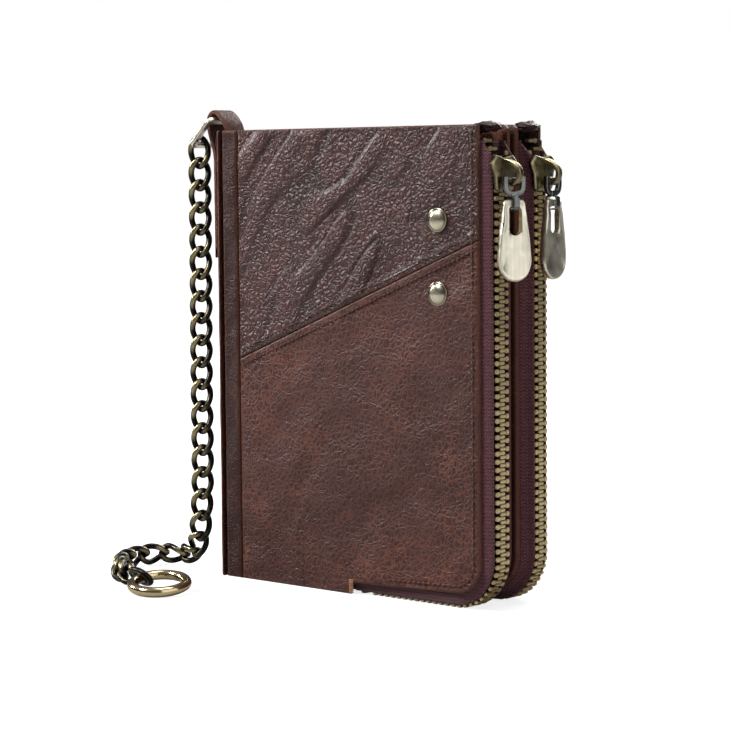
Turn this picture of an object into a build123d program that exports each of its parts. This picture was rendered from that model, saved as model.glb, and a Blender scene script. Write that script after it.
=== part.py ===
from build123d import *
import math
import os

# A bifold wallet with two zip pockets, standing closed on its bottom edge, with a chain.
# X runs from the spine to the zips, the front cover faces -Y, Z is up.  Millimetres.

# Driving dimensions of the leather
HEIGHT = 125.0
COVER_WIDTH = 95.0
THICKNESS = 27.2
LEATHER = 1.2
LINING = 0.5
SPINE_FLANGE = 5.4
EDGE_RISE_START = 3.0
EDGE_RISE_END = 4.6
NOTCH_X = 50.0
COVER_CORNER = 8.0
SEAM_LOW = 61.7
SEAM_HIGH = 95.6

# Zips
ZIP_REACH = 3.9
ZIP_SPACING = THICKNESS - 11.2
ZIP_CORNER = 13.5
ZIP_END_X = 54.0
TOOTH_PITCH = 2.1
TOOTH_HEAD = 0.8
TOOTH_JAW = 1.25
TOOTH_DEPTH = 1.8
HEAD_REACH = 1.0
JAW_START = 1.2
JAW_END = 2.6
BEAD_WIDTH = 0.7
TAPE = 0.45
HEM_REACH = 5.0
SPLIT_Z = HEIGHT - 14.6
ROWS_TOP_Z = HEIGHT - 4.0
OUTER_SPREAD = 0.6
INNER_SPREAD = 2.0
ROW_TUCK = 3.0
STOP_WIDTH = 4.8

# Sliders and pulls
SLIDER_Z = HEIGHT - 12.4
SLIDER_LENGTH = 9.2
SLIDER_PLATE = 1.1
SLIDER_SHOULDER = 5.7
SLIDER_WAIST = 4.3
SLIDER_END = 3.6
BAIL_REACH = 5.2
BAIL_WIRE = 1.2
BAIL_WIDTH = 1.8
BAIL_LOW = 3.2
BAIL_HIGH = 3.8
PULL_PIN = 0.4
PIN_REACH = 2.6
LINK_DROP = 6.2
LINK_THICK = 1.4
CHEEK = 1.0
CHEEK_IN = 1.95
TONGUE_HALF = 0.8
TONGUE_WALL = 0.45
TAB_LENGTH = 20.8
TAB_WIDTH = 9.2
TAB_THICK = 2.0
TAB_TOP = 1.0
TAB_BAR = 1.9
TAB_BAR_THICK = 1.4
TAB_SLOT = (7.2, 3.4)
FRONT_PULL_YAW = -24.0
REAR_PULL_YAW = 0.0

# Rivets
RIVET_DIAMETER = 6.2
RIVET_HEIGHT = 1.0
RIVET_CROWN = 0.7
RIVET_SHANK = 1.3
RIVET_X = 81.8
RIVET_PLACES = (81.7, 100.7)

# Chain, its loop and rings
LOOP_WIDTH = 7.0
LOOP_Y = -8.4
LOOP_LOW_Z = HEIGHT - 37.0
RING_BAR = 2.0
RING_SHEET = 1.2
LINK_WIRE = 1.7
LINK_WIDTH = 6.5
LINK_LENGTH = 9.9
LINK_SLACK = 0.15
END_RING_WIRE = 2.8
END_RING_OUTER = 17.5
END_RING_TILT = 6.5

# Clearances
GAP = 0.1
BODY_GAP = 0.3

HALF = THICKNESS / 2
HINGE_R = 1.2
HINGE_X = 2.2
HINGE_Y = HALF - HINGE_R
FLANGE_X = HINGE_X + HINGE_R + BODY_GAP
PANEL_X = FLANGE_X + SPINE_FLANGE + BODY_GAP
STACK_X = FLANGE_X + 1.5
CREST_X = COVER_WIDTH + ZIP_REACH
ZIP_Y = ZIP_SPACING / 2
PANEL_OUT = HALF - 0.3
PANEL_IN = PANEL_OUT - LEATHER
LINING_OUT = PANEL_IN - GAP
LINING_IN = LINING_OUT - LINING
TAPE_UNDER = 6.0
LINING_X = CREST_X - TAPE_UNDER - BODY_GAP
POCKET_DEPTH = 4.5
BACK_OUT = LINING_IN - POCKET_DEPTH
BACK_IN = BACK_OUT - LINING
INNER_OUT = BACK_IN - 1.0
INNER_IN = INNER_OUT - LEATHER
CARD_LAYER = 0.8
CARD_COUNT = 3
CARD_LOW = 12.0
CARD_TOP = 29.0
CARD_STEP = 15.0
WINDOW_LOW = 22.0
WINDOW_TOP = 25.0
WINDOW_FRAME = 6.0
WINDOW_THICK = 0.75
GUSSET_LOW = 3.2
GUSSET_HIGH = 0.4
BINDING_IN = 0.8
BINDING_OUT = BINDING_IN + LEATHER + 0.3
BINDING_X = COVER_WIDTH + 1.0
BINDING_WIDTH = 5.5
BINDING_FOLD = 3.0
BINDING_TOP = 4.0
BINDING_WINDOW_CORNER = 5.0
INNER_X = CREST_X - 9.5

POST_LOW = SLIDER_Z + 2.6
POST_HALF = 0.35
TUCK_Z = SLIDER_Z + SLIDER_LENGTH / 2 + GAP

# The wallet's middle, with its chain loop and pulls, lies on the origin
PLATE_X = CREST_X + GAP + SLIDER_PLATE
PIN_X = PLATE_X + PIN_REACH
PIN_Z = SLIDER_Z - BAIL_LOW + BAIL_WIRE + PULL_PIN + GAP
LOOP_BULGE = 4.1
MIDDLE_X = (PLATE_X + BAIL_REACH - LOOP_BULGE) / 2


def save(name, shape):
    """Write one node, moved from the spine's frame to the part's frame."""
    moved = shape.moved(Location((-MIDDLE_X, 0, 0)))
    moved.label = name
    export_step(moved, "parts/" + name + ".step")


def group(solids):
    """Separate solids of one kind in one node."""
    return Compound(children=list(solids))


def block(x0, x1, y0, y1, z0, z1):
    """A box between two corners."""
    size = (x1 - x0, y1 - y0, z1 - z0)
    middle = Location(((x0 + x1) / 2, (y0 + y1) / 2, (z0 + z1) / 2))
    return middle * Box(*size)


def plate(points, y0, y1, rounded=()):
    """An upright plate: an outline in X and Z, from y0 to y1, with (corner, radius) rounded."""
    face = make_face(Polyline(*points, close=True))
    for corner, radius in rounded:
        target = Vector(corner[0], corner[1])
        near = min(face.vertices(), key=lambda v: (Vector(v) - target).length)
        face = fillet([near], radius)
    plane = Plane(origin=(0, y1, 0), x_dir=(1, 0, 0), z_dir=(0, -1, 0))
    return extrude(plane * face, y1 - y0)


def mirrored(shape, side):
    """The same piece on the front (side -1, as drawn at +Y) or the rear (side 1)."""
    if side > 0:
        return shape
    return mirror(shape, about=Plane.XZ)


# Spine: an outer strip with a round edge at each fold, its lining, and the chain loop

def spine_strip():
    bulge = ThreePointArc((1.0, -HINGE_Y), (0.0, 0.0), (1.0, HINGE_Y))
    inner = ThreePointArc((HINGE_X, HINGE_Y), (HINGE_X - 0.8, 0.0), (HINGE_X, -HINGE_Y))
    outline = [bulge, Line(bulge @ 1, inner @ 0), inner, Line(inner @ 1, bulge @ 0)]
    web = extrude(make_face(outline), HEIGHT)
    for side in (-1, 1):
        web = web + Location((HINGE_X, side * HINGE_Y, HEIGHT / 2)) * Cylinder(HINGE_R, HEIGHT)
    return web


def spine_lining():
    edge = HINGE_Y - HINGE_R - 3.4
    return block(HINGE_X + GAP, HINGE_X + GAP + LINING, -edge, edge, 1.0, HEIGHT - 15.0)


RING_TOP = (-1.2, HEIGHT + 2.8)
RING_REACH = 9.3
RING_STEP = RING_REACH * math.sqrt(0.5)
RING_LOW = (RING_TOP[0] - RING_STEP, RING_TOP[1] - RING_STEP)


def chain_loop():
    """A strap sewn down the spine, over the ring's bar and down inside the spine."""
    half = LEATHER / 2
    outer = -half - GAP
    inner = FLANGE_X + 0.45
    over = RING_TOP[1] + RING_BAR / 2 + 1.4
    line = FilletPolyline(
        (outer, LOOP_LOW_Z), (outer, HEIGHT - 6.0), (RING_TOP[0] - 2.3, RING_TOP[1] - 1.8),
        (RING_TOP[0] - 1.3, over), (RING_TOP[0] + 2.0, over), (inner, HEIGHT), (inner, HEIGHT - 13.0),
        radius=1.2,
    )
    band = trace(line, LEATHER)
    plane = Plane(origin=(0, LOOP_Y + LOOP_WIDTH / 2, 0), x_dir=(1, 0, 0), z_dir=(0, -1, 0))
    return extrude(plane * band, LOOP_WIDTH)


def d_ring():
    """A flat rectangular ring, hanging out of the loop at 45 degrees."""
    inner_w = LOOP_WIDTH + 1.5
    outer_w = inner_w + 2 * RING_BAR
    outer_l = RING_REACH + RING_BAR
    face = fillet(Rectangle(outer_l, outer_w).vertices(), 1.2) - fillet(
        Rectangle(outer_l - 2 * RING_BAR, inner_w).vertices(), 0.6
    )
    middle = ((RING_TOP[0] + RING_LOW[0]) / 2, LOOP_Y, (RING_TOP[1] + RING_LOW[1]) / 2)
    plane = Plane(origin=middle, x_dir=(-1, 0, -1), z_dir=(1, 0, -1))
    return extrude(plane * face, RING_SHEET / 2, both=True)


# Covers: drawn for the rear at +Y, and mirrored for the front

def edge_strip(side):
    piece = block(FLANGE_X, PANEL_X - BODY_GAP, PANEL_IN, HALF, 0.0, HEIGHT)
    return mirrored(piece, side)


def cover_outline(low_x, high_left, high_right):
    return [
        (low_x, 0.0), (NOTCH_X, 0.0), (NOTCH_X, EDGE_RISE_START), (COVER_WIDTH, EDGE_RISE_END),
        (COVER_WIDTH, high_right), (low_x, high_left),
    ]


def lower_panel():
    points = cover_outline(PANEL_X, SEAM_LOW, SEAM_HIGH)
    return plate(points, -PANEL_OUT, -PANEL_IN, [((COVER_WIDTH, EDGE_RISE_END), COVER_CORNER)])


def upper_panel():
    points = [
        (PANEL_X, SEAM_LOW + GAP), (COVER_WIDTH, SEAM_HIGH + GAP), (COVER_WIDTH, HEIGHT), (PANEL_X, HEIGHT),
    ]
    return plate(points, -PANEL_OUT, -PANEL_IN, [((COVER_WIDTH, HEIGHT), 1.5)]) - rivet_holes()


def rear_panel():
    points = cover_outline(PANEL_X, HEIGHT, HEIGHT)
    corners = [((COVER_WIDTH, EDGE_RISE_END), COVER_CORNER), ((COVER_WIDTH, HEIGHT), 1.5)]
    return plate(points, PANEL_IN, PANEL_OUT, corners)


def cover_lining(side):
    edge = EDGE_RISE_END + TAPE_UNDER - ZIP_REACH + 2.0
    points = [
        (STACK_X, 0.6), (NOTCH_X - 3.0, 0.6), (NOTCH_X - 3.0, edge), (LINING_X, edge),
        (LINING_X, HEIGHT - 1.0), (STACK_X, HEIGHT - 1.0),
    ]
    piece = plate(points, LINING_IN, LINING_OUT, [((LINING_X, edge), COVER_CORNER)])
    return mirrored(piece, side)


def rivet_holes():
    holes = [rivet_at(z, RIVET_SHANK + GAP, -HALF - 1.0, -PANEL_IN + 1.0) for z in RIVET_PLACES]
    return Compound(children=holes)


def rivet_at(z, radius, y0, y1):
    """A round bar through the front cover, from y0 to y1."""
    centre = Location((RIVET_X, (y0 + y1) / 2, z), (90, 0, 0))
    return centre * Cylinder(radius, y1 - y0)


def rivet_cap(z):
    """A domed cap on the leather: a slice of a ball inside a short cylinder."""
    radius = RIVET_DIAMETER / 2
    ball = (radius ** 2 + RIVET_CROWN ** 2) / (2 * RIVET_CROWN)
    disc = Location((0, 0, RIVET_HEIGHT / 2)) * Cylinder(radius, RIVET_HEIGHT)
    dome = disc & (Location((0, 0, RIVET_HEIGHT - ball)) * Sphere(ball))
    return Location((RIVET_X, -PANEL_OUT, z), (90, 0, 0)) * dome


def rivet_post(z):
    """The shank through the leather."""
    return rivet_at(z, RIVET_SHANK, -PANEL_OUT, -PANEL_IN)


# Zips: everything follows the crest line, down the side, round the corner and along the bottom

def crest_path(start_z):
    """The crest: X and Z along the outermost line of the teeth."""
    down = Line((CREST_X, 0, start_z), (CREST_X, 0, ZIP_CORNER))
    middle = (CREST_X - ZIP_CORNER * (1 - math.sqrt(0.5)), 0, ZIP_CORNER * (1 - math.sqrt(0.5)))
    turn = ThreePointArc(down @ 1, middle, (CREST_X - ZIP_CORNER, 0, 0))
    along = Line(turn @ 1, (ZIP_END_X, 0, 0))
    return Wire([down, turn, along])


def section(points, z):
    """A section of depth (from the crest, inwards) and Y, at height z."""
    return Plane(origin=(CREST_X, 0, z), x_dir=(-1, 0, 0), z_dir=(0, 0, -1)) * make_face(
        Polyline(*[(d, y) for d, y in points], close=True)
    )


def outer_tape_points(tuck, spread):
    """Tape from the bead beside the teeth to its hem under the cover."""
    hem_out = PANEL_IN - GAP / 2
    hem_in = hem_out - TAPE
    bead_in = ZIP_Y + JAW_END + spread
    bead_out = bead_in + BEAD_WIDTH
    return [
        (0.3 + tuck, bead_in), (0.3 + tuck, bead_out), (1.2 + tuck, bead_out),
        (ZIP_REACH + 0.4, hem_out), (TAPE_UNDER, hem_out),
        (TAPE_UNDER, hem_in), (ZIP_REACH + 0.2, hem_in), (1.7 + tuck, bead_in),
    ]


def inner_tape_points(tuck, spread):
    """Tape from the bead beside the teeth to its hem under the binding."""
    hem_in = BINDING_OUT + GAP / 2
    hem_out = hem_in + TAPE
    bead_out = ZIP_Y - JAW_END - spread
    bead_in = bead_out - BEAD_WIDTH
    turn = CREST_X - BINDING_X
    return [
        (0.3 + tuck, bead_out), (0.3 + tuck, bead_in), (1.2 + tuck, bead_in),
        (turn + 0.4, hem_in), (turn + HEM_REACH, hem_in),
        (turn + HEM_REACH, hem_out), (turn + 1.2, hem_out), (1.7 + tuck, bead_out),
    ]


def parting(z):
    """How far the rows have parted (0 to 1) and tucked in behind the slider (0 to 1), at height z."""
    parted = max(0.0, (z - SPLIT_Z) / (ROWS_TOP_Z - SPLIT_Z))
    tucked = max(0.0, (z - TUCK_Z) / (ROWS_TOP_Z - TUCK_Z))
    return parted, tucked


def zip_tape(points_of, side, spread):
    """Swept below the split; lofted above it, where the rows part and then tuck in."""
    sections = []
    for z in (SPLIT_Z, TUCK_Z, ROWS_TOP_Z):
        parted, tucked = parting(z)
        sections.append(section(points_of(ROW_TUCK * tucked, spread * parted), z))
    run = sweep(sections[0], crest_path(SPLIT_Z))
    for low, high in zip(sections, sections[1:]):
        run = run + loft([low, high], ruled=True)
    return mirrored(run, side)


def crest_point(s):
    """Point and turn of the crest at a length s below the split."""
    straight = SPLIT_Z - ZIP_CORNER
    turn = ZIP_CORNER * math.pi / 2
    if s < straight:
        return CREST_X, SPLIT_Z - s, 0.0
    if s < straight + turn:
        angle = (s - straight) / ZIP_CORNER
        middle = CREST_X - ZIP_CORNER
        return middle + ZIP_CORNER * math.cos(angle), ZIP_CORNER * (1 - math.sin(angle)), angle
    return CREST_X - ZIP_CORNER - (s - straight - turn), 0.0, math.pi / 2


def tooth(row, with_head):
    """One tooth, its crest face at x 0, for the outer (1) or inner (-1) row."""
    jaw = block(-TOOTH_DEPTH, 0, JAW_START, JAW_END, -TOOTH_JAW / 2, TOOTH_JAW / 2)
    head = block(-TOOTH_DEPTH + 0.1, -0.1, -HEAD_REACH, JAW_START, -TOOTH_HEAD / 2, TOOTH_HEAD / 2)
    whole = jaw + head if with_head else jaw
    if row < 0:
        whole = mirror(whole, about=Plane.XZ)
    return whole


def zip_teeth(row, side, spread):
    """A row of teeth; above the split it leaves the other row and tucks in.

    The slider's post stands where the rows part, so the teeth beside it have jaws alone.
    """
    shift = 0.0 if row > 0 else TOOTH_PITCH / 2
    length = SPLIT_Z - ZIP_CORNER + ZIP_CORNER * math.pi / 2 + CREST_X - ZIP_CORNER - ZIP_END_X
    one = tooth(row, True)
    short = tooth(row, False)
    teeth = []
    count = int((length - shift - TOOTH_JAW) / TOOTH_PITCH)
    for k in range(count + 1):
        x, z, angle = crest_point(shift + k * TOOTH_PITCH)
        teeth.append(Location((x, ZIP_Y, z), (0, math.degrees(angle), 0)) * one)
    above = int((ROWS_TOP_Z - SPLIT_Z - shift) / TOOTH_PITCH)
    for k in range(1, above + 1):
        z = SPLIT_Z - shift + k * TOOTH_PITCH
        parted = parting(z - TOOTH_JAW / 2)[0]
        tucked = parting(z + TOOTH_JAW / 2)[1]
        place = Location((CREST_X - tucked * ROW_TUCK, ZIP_Y + row * spread * parted, z))
        beside = POST_LOW - TOOTH_JAW < z < TUCK_Z + TOOTH_JAW
        teeth.append(place * (short if beside else one))
    return group([mirrored(t, side) for t in teeth])


def bottom_stop(side):
    """The metal staple that ends the zip."""
    half = STOP_WIDTH / 2
    return mirrored(block(ZIP_END_X - 2.4, ZIP_END_X - 0.6, ZIP_Y - half, ZIP_Y + half, 0.1, 1.7), side)


# Sliders

def slider_body(side):
    """Outer plate with a wide shoulder, inner plate, the post between the rows, and the bail."""
    half = SLIDER_LENGTH / 2
    x0 = CREST_X + GAP
    right = [(SLIDER_END, -half), (SLIDER_WAIST, 0.0), (SLIDER_SHOULDER, half - 2.2), (SLIDER_END, half)]
    left = [(-y, z) for y, z in reversed(right)]
    face = fillet(make_face(Polyline(*right, *left, close=True)).vertices(), 0.8)
    outside = Plane(origin=(x0, ZIP_Y, SLIDER_Z), x_dir=(0, 1, 0), z_dir=(1, 0, 0))
    body = extrude(outside * face, SLIDER_PLATE)
    inside = CREST_X - TOOTH_DEPTH - GAP
    y0 = ZIP_Y - STOP_WIDTH / 2
    y1 = ZIP_Y + STOP_WIDTH / 2
    body = body + block(inside - SLIDER_PLATE, inside, y0, y1, SLIDER_Z - half, SLIDER_Z + half)
    post = (ZIP_Y - POST_HALF, ZIP_Y + POST_HALF, POST_LOW, SLIDER_Z + half)
    body = body + block(inside - 0.2, x0 + 0.2, *post)
    body = body + bail(x0 + SLIDER_PLATE)
    return mirrored(body, side)


def bail(x):
    """The arch that the pull hangs on."""
    low = SLIDER_Z - BAIL_LOW
    high = SLIDER_Z + BAIL_HIGH
    foot = (x + BAIL_REACH * 0.6, low)
    shoulder = (x + BAIL_REACH * 0.55, high - 0.9)
    outer = make_face([
        Line((x - 0.1, low), foot),
        ThreePointArc(foot, (x + BAIL_REACH, (low + high) / 2 - 1.0), shoulder),
        Line(shoulder, (x - 0.1, high)), Line((x - 0.1, high), (x - 0.1, low)),
    ])
    face = outer - offset(outer, -BAIL_WIRE)
    face = face + Rectangle(0.6, 1.6).moved(Location((x + 0.2, low + 0.8)))
    plane = Plane(origin=(0, ZIP_Y + BAIL_WIDTH / 2, 0), x_dir=(1, 0, 0), z_dir=(0, -1, 0))
    return extrude(plane * face, BAIL_WIDTH)


def pull_place(side, yaw):
    """Where a pull hangs: its own x out of the slider, y along its pin, z up from its pin."""
    return Location((PIN_X, side * ZIP_Y, PIN_Z), (0, 0, yaw))


def pull_link(side, yaw):
    """Pin through the bail, two cheeks, and a tongue that goes round the tab's top bar."""
    width = CHEEK_IN + CHEEK
    half = LINK_THICK / 2
    link = Rot(90, 0, 0) * Cylinder(PULL_PIN, 2 * width)
    for y in (-1, 1):
        low, high = sorted((y * CHEEK_IN, y * width))
        link = link + block(-half, half, low, high, -LINK_DROP + 2.4, PULL_PIN)
    link = link + block(-half, half, -width, width, -LINK_DROP + 2.0, -LINK_DROP + 3.0)
    swing = math.hypot(TAB_BAR / 2 + 0.2, TAB_BAR_THICK / 2) + GAP
    reach = swing + TONGUE_WALL
    tongue = block(-reach, reach, -TONGUE_HALF, TONGUE_HALF, -LINK_DROP - reach, -LINK_DROP + 2.6)
    eye = block(-swing, swing, -TONGUE_HALF - GAP, TONGUE_HALF + GAP, -LINK_DROP - swing, -LINK_DROP + swing)
    return pull_place(side, yaw) * (link + (tongue - eye))


def pull_tab(side, yaw):
    """A teardrop plate with a slot below its top bar, which is thinner on both faces."""
    half = TAB_WIDTH / 2
    top = TAB_TOP
    low = top - TAB_LENGTH
    outline = make_face([
        Line((-half * 0.62, top), (half * 0.62, top)),
        Line((half * 0.62, top), (half, low + half)),
        ThreePointArc((half, low + half), (0, low), (-half, low + half)),
        Line((-half, low + half), (-half * 0.62, top)),
    ])
    slot_long, slot_wide = TAB_SLOT
    slot = Location((0, top - TAB_BAR - slot_long / 2)) * Rot(0, 0, 90) * SlotOverall(slot_long, slot_wide)
    plane = Plane(origin=(-TAB_THICK / 2, 0, 0), x_dir=(0, 1, 0), z_dir=(1, 0, 0))
    tab = extrude(plane * (outline - slot), TAB_THICK)
    for face in (-1, 1):
        low_x, high_x = sorted((face * TAB_BAR_THICK / 2, face * TAB_THICK))
        tab = tab - block(low_x, high_x, -half, half, top - TAB_BAR - 0.7, top + 1.0)
    return pull_place(side, yaw) * Location((0, 0, -LINK_DROP)) * tab


# Leaves: the inner wall of each pocket, with its cards' slots

def leaf_outline(right, low):
    notch = NOTCH_X - 3.0
    return [(STACK_X, 0.0), (notch, 0.0), (notch, low), (right, low), (right, HEIGHT), (STACK_X, HEIGHT)]


LEAF_LOW = 9.5


def pocket_back(side):
    piece = plate(leaf_outline(INNER_X, LEAF_LOW), BACK_IN, BACK_OUT, [((INNER_X, LEAF_LOW), COVER_CORNER)])
    return mirrored(piece, side)


def inner_panel(side):
    piece = plate(leaf_outline(INNER_X, LEAF_LOW), INNER_IN, INNER_OUT, [((INNER_X, LEAF_LOW), COVER_CORNER)])
    return mirrored(piece, side)


def binding(side):
    """The leather edging along the zip side and the bottom of a leaf."""
    low = CREST_X - BINDING_X
    outer = [
        (STACK_X, 0.0), (NOTCH_X, 0.0), (NOTCH_X, low),
        (BINDING_X, low), (BINDING_X, HEIGHT), (STACK_X, HEIGHT),
    ]
    whole = plate(outer, BINDING_IN, BINDING_OUT, [((BINDING_X, low), ZIP_CORNER - low)])
    left = STACK_X + BINDING_FOLD
    right = BINDING_X - BINDING_WIDTH
    bottom = low + BINDING_WIDTH
    top = HEIGHT - BINDING_TOP
    window = [(left, bottom), (right, bottom), (right, top), (left, top)]
    hole = plate(window, BINDING_IN - 1.0, BINDING_OUT + 1.0, [((right, bottom), BINDING_WINDOW_CORNER)])
    return mirrored(whole - hole, side)


def card_slots(side):
    """Stepped card slots, each one lower and nearer to the fold than the one behind it."""
    left = STACK_X + 4.0
    right = BINDING_X - BINDING_WIDTH - 1.0
    layers = []
    for k in range(CARD_COUNT):
        y1 = INNER_IN - k * CARD_LAYER
        top = HEIGHT - CARD_TOP - CARD_STEP * k
        layers.append(block(left, right, y1 - CARD_LAYER + GAP / 2, y1, CARD_LOW, top))
    return mirrored(group(layers), side)


def id_window():
    """A leather frame round a clear pane, on the rear leaf."""
    low = WINDOW_LOW
    high = HEIGHT - WINDOW_TOP
    left = STACK_X + 16.0
    right = BINDING_X - BINDING_WIDTH - 12.0
    y0 = INNER_IN - WINDOW_THICK
    y1 = INNER_IN
    frame = block(left, right, y0, y1, low, high)
    inset = WINDOW_FRAME
    opening = block(left + inset, right - inset, y0 - 0.2, y1 + 0.2, low + inset, high - inset)
    inset = WINDOW_FRAME + GAP
    pane = block(left + inset, right - inset, y0 + 0.2, y1 - 0.2, low + inset, high - inset)
    return frame - opening, pane


def top_gusset(side):
    """Leather that closes the pocket's top between the cover and the leaf."""
    low = HEIGHT - GUSSET_LOW
    high = HEIGHT - GUSSET_HIGH
    ear_x = CREST_X - 6.8
    ear = block(ear_x, CREST_X - 1.6, BINDING_OUT + BODY_GAP, LINING_IN - 0.5, low, high)
    strip = block(STACK_X, ear_x, BACK_OUT + GAP, LINING_IN - 0.25, low, high)
    return mirrored(strip + ear, side)


# Chain

HANG_X = RING_LOW[0]
HANG_Y = -11.0
HANG_Z = RING_LOW[1] - 2.0
FLOOR_Z = LINK_WIDTH / 2 + 0.1
CHAIN_ROUTE = [
    (HANG_X, HANG_Y, HANG_Z),
    (HANG_X + 0.2, HANG_Y - 0.3, 87.0),
    (HANG_X + 0.3, HANG_Y - 0.8, 57.0),
    (HANG_X + 0.6, HANG_Y - 1.0, 32.0),
    (HANG_X + 0.4, HANG_Y - 1.3, 19.5),
    (HANG_X - 1.0, HANG_Y - 0.8, 11.6),
    (HANG_X - 4.4, HANG_Y + 0.8, 5.6),
    (HANG_X - 10.5, HANG_Y + 2.6, FLOOR_Z),
    (HANG_X - 16.4, HANG_Y + 1.2, FLOOR_Z),
    (HANG_X - 19.4, HANG_Y - 4.4, FLOOR_Z),
    (HANG_X - 18.8, HANG_Y - 11.8, FLOOR_Z),
    (HANG_X - 14.8, HANG_Y - 19.4, FLOOR_Z),
    (HANG_X - 8.2, HANG_Y - 26.2, FLOOR_Z),
    (HANG_X - 0.8, HANG_Y - 30.6, FLOOR_Z),
    (HANG_X + 7.6, HANG_Y - 32.0, FLOOR_Z),
]


def route_radii(points):
    """The arc at each point: as large as its two runs allow."""
    radii = []
    for a, b, c in zip(points, points[1:], points[2:]):
        into = Vector(b) - Vector(a)
        out = Vector(c) - Vector(b)
        turn = math.radians(into.get_angle(out))
        radii.append(0.45 * min(into.length, out.length) / math.tan(turn / 2))
    return radii


def chain_line():
    radii = route_radii(CHAIN_ROUTE)
    print("chain arcs", [round(r, 1) for r in radii])
    return FilletPolyline(*CHAIN_ROUTE, radius=radii)


def chain_link():
    """One oval link in the XZ plane, long way up."""
    run = LINK_LENGTH - LINK_WIDTH
    centre = (LINK_WIDTH - LINK_WIRE) / 2
    right = Line((centre, 0, -run / 2), (centre, 0, run / 2))
    top = ThreePointArc((centre, 0, run / 2), (0, 0, run / 2 + centre), (-centre, 0, run / 2))
    left = Line((-centre, 0, run / 2), (-centre, 0, -run / 2))
    low = ThreePointArc((-centre, 0, -run / 2), (0, 0, -run / 2 - centre), (centre, 0, -run / 2))
    wire = Plane(origin=(centre, 0, 0), z_dir=(0, 0, 1)) * Circle(LINK_WIRE / 2)
    half = sweep(wire, Wire([Line((centre, 0, 0), right @ 1), top, Line(left @ 0, (-centre, 0, 0))]))
    return half + mirror(half, about=Plane.XY)


def chain_links():
    """Links along the route, each a quarter turn from the last.

    The first lies in X and Z, round the ring's bar.  The chain twists evenly along its length,
    so that the last one stands upright round the end ring's wire.
    """
    line = chain_line()
    pitch = LINK_LENGTH - 2 * LINK_WIRE - LINK_SLACK
    count = math.ceil(line.length / pitch)
    across = Vector(1, 0, 0)
    planes = []
    for k in range(count + 1):
        along = line.tangent_at(k / count)
        across = (across - along * across.dot(along)).normalized()
        planes.append(Plane(origin=line.position_at(k / count), x_dir=across, z_dir=along))
    last = planes[-1]
    upright = math.degrees(math.atan2(last.y_dir.Z, last.x_dir.Z))
    twist = (upright - 90.0 * count + 90.0) % 180.0 - 90.0
    one = chain_link()
    links = []
    for k, plane in enumerate(planes):
        links.append(plane.location * Rot(0, 0, 90.0 * k + twist * k / count) * one)
    print("chain", count + 1, "links,", round(line.length + LINK_LENGTH, 1), "mm")
    return links


HANGING_LINKS = 18


def end_ring():
    """A plain round ring through the last link, its link side and its far side a little up."""
    major = (END_RING_OUTER - END_RING_WIRE) / 2
    end = Vector(CHAIN_ROUTE[-1])
    along = (end - Vector(CHAIN_ROUTE[-2])).normalized()
    reach = LINK_LENGTH / 2 - LINK_WIRE - END_RING_WIRE / 2 - GAP + major
    tilt = math.sin(math.radians(END_RING_TILT))
    lift = major * tilt * math.sqrt(2) + END_RING_WIRE / 2
    turn = math.degrees(math.atan2(along.Y, along.X))
    place = Location((end.X + reach * along.X, end.Y + reach * along.Y, lift), (0, 0, turn))
    return place * Rot(0, END_RING_TILT, 0) * Rot(END_RING_TILT, 0, 0) * Torus(major, END_RING_WIRE / 2)


def write_side(name, side):
    """The pieces that the front and the rear have in common."""
    yaw = FRONT_PULL_YAW if side < 0 else REAR_PULL_YAW
    save(name + "_edge_strip", edge_strip(side))
    save(name + "_cover_lining", cover_lining(side))
    save(name + "_outer_tape", zip_tape(outer_tape_points, side, OUTER_SPREAD))
    save(name + "_inner_tape", zip_tape(inner_tape_points, side, INNER_SPREAD))
    save(name + "_outer_teeth", zip_teeth(1, side, OUTER_SPREAD))
    save(name + "_inner_teeth", zip_teeth(-1, side, INNER_SPREAD))
    save(name + "_bottom_stop", bottom_stop(side))
    save(name + "_slider", slider_body(side))
    save(name + "_pull_link", pull_link(side, yaw))
    save(name + "_pull_tab", pull_tab(side, yaw))
    save(name + "_pocket_back", pocket_back(side))
    save(name + "_inner_panel", inner_panel(side))
    save(name + "_binding", binding(side))
    save(name + "_top_gusset", top_gusset(side))


def main():
    os.makedirs("parts", exist_ok=True)
    save("spine_strip", spine_strip())
    save("spine_lining", spine_lining())
    save("chain_loop", chain_loop())
    save("d_ring", d_ring())
    write_side("front", -1)
    write_side("rear", 1)
    save("front_upper_panel", upper_panel())
    save("front_lower_panel", lower_panel() - rivet_holes())
    save("rear_panel", rear_panel())
    save("rivet_caps", group([rivet_cap(z) for z in RIVET_PLACES]))
    save("rivet_posts", group([rivet_post(z) for z in RIVET_PLACES]))
    save("front_card_slots", card_slots(-1))
    frame, pane = id_window()
    save("rear_id_frame", frame)
    save("rear_id_pane", pane)
    links = chain_links()
    save("chain_hanging", group(links[:HANGING_LINKS]))
    save("chain_on_floor", group(links[HANGING_LINKS:]))
    save("end_ring", end_ring())


main()
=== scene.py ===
import math
import bmesh
import bpy
import numpy as np
from mathutils import Matrix, Vector, noise


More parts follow.
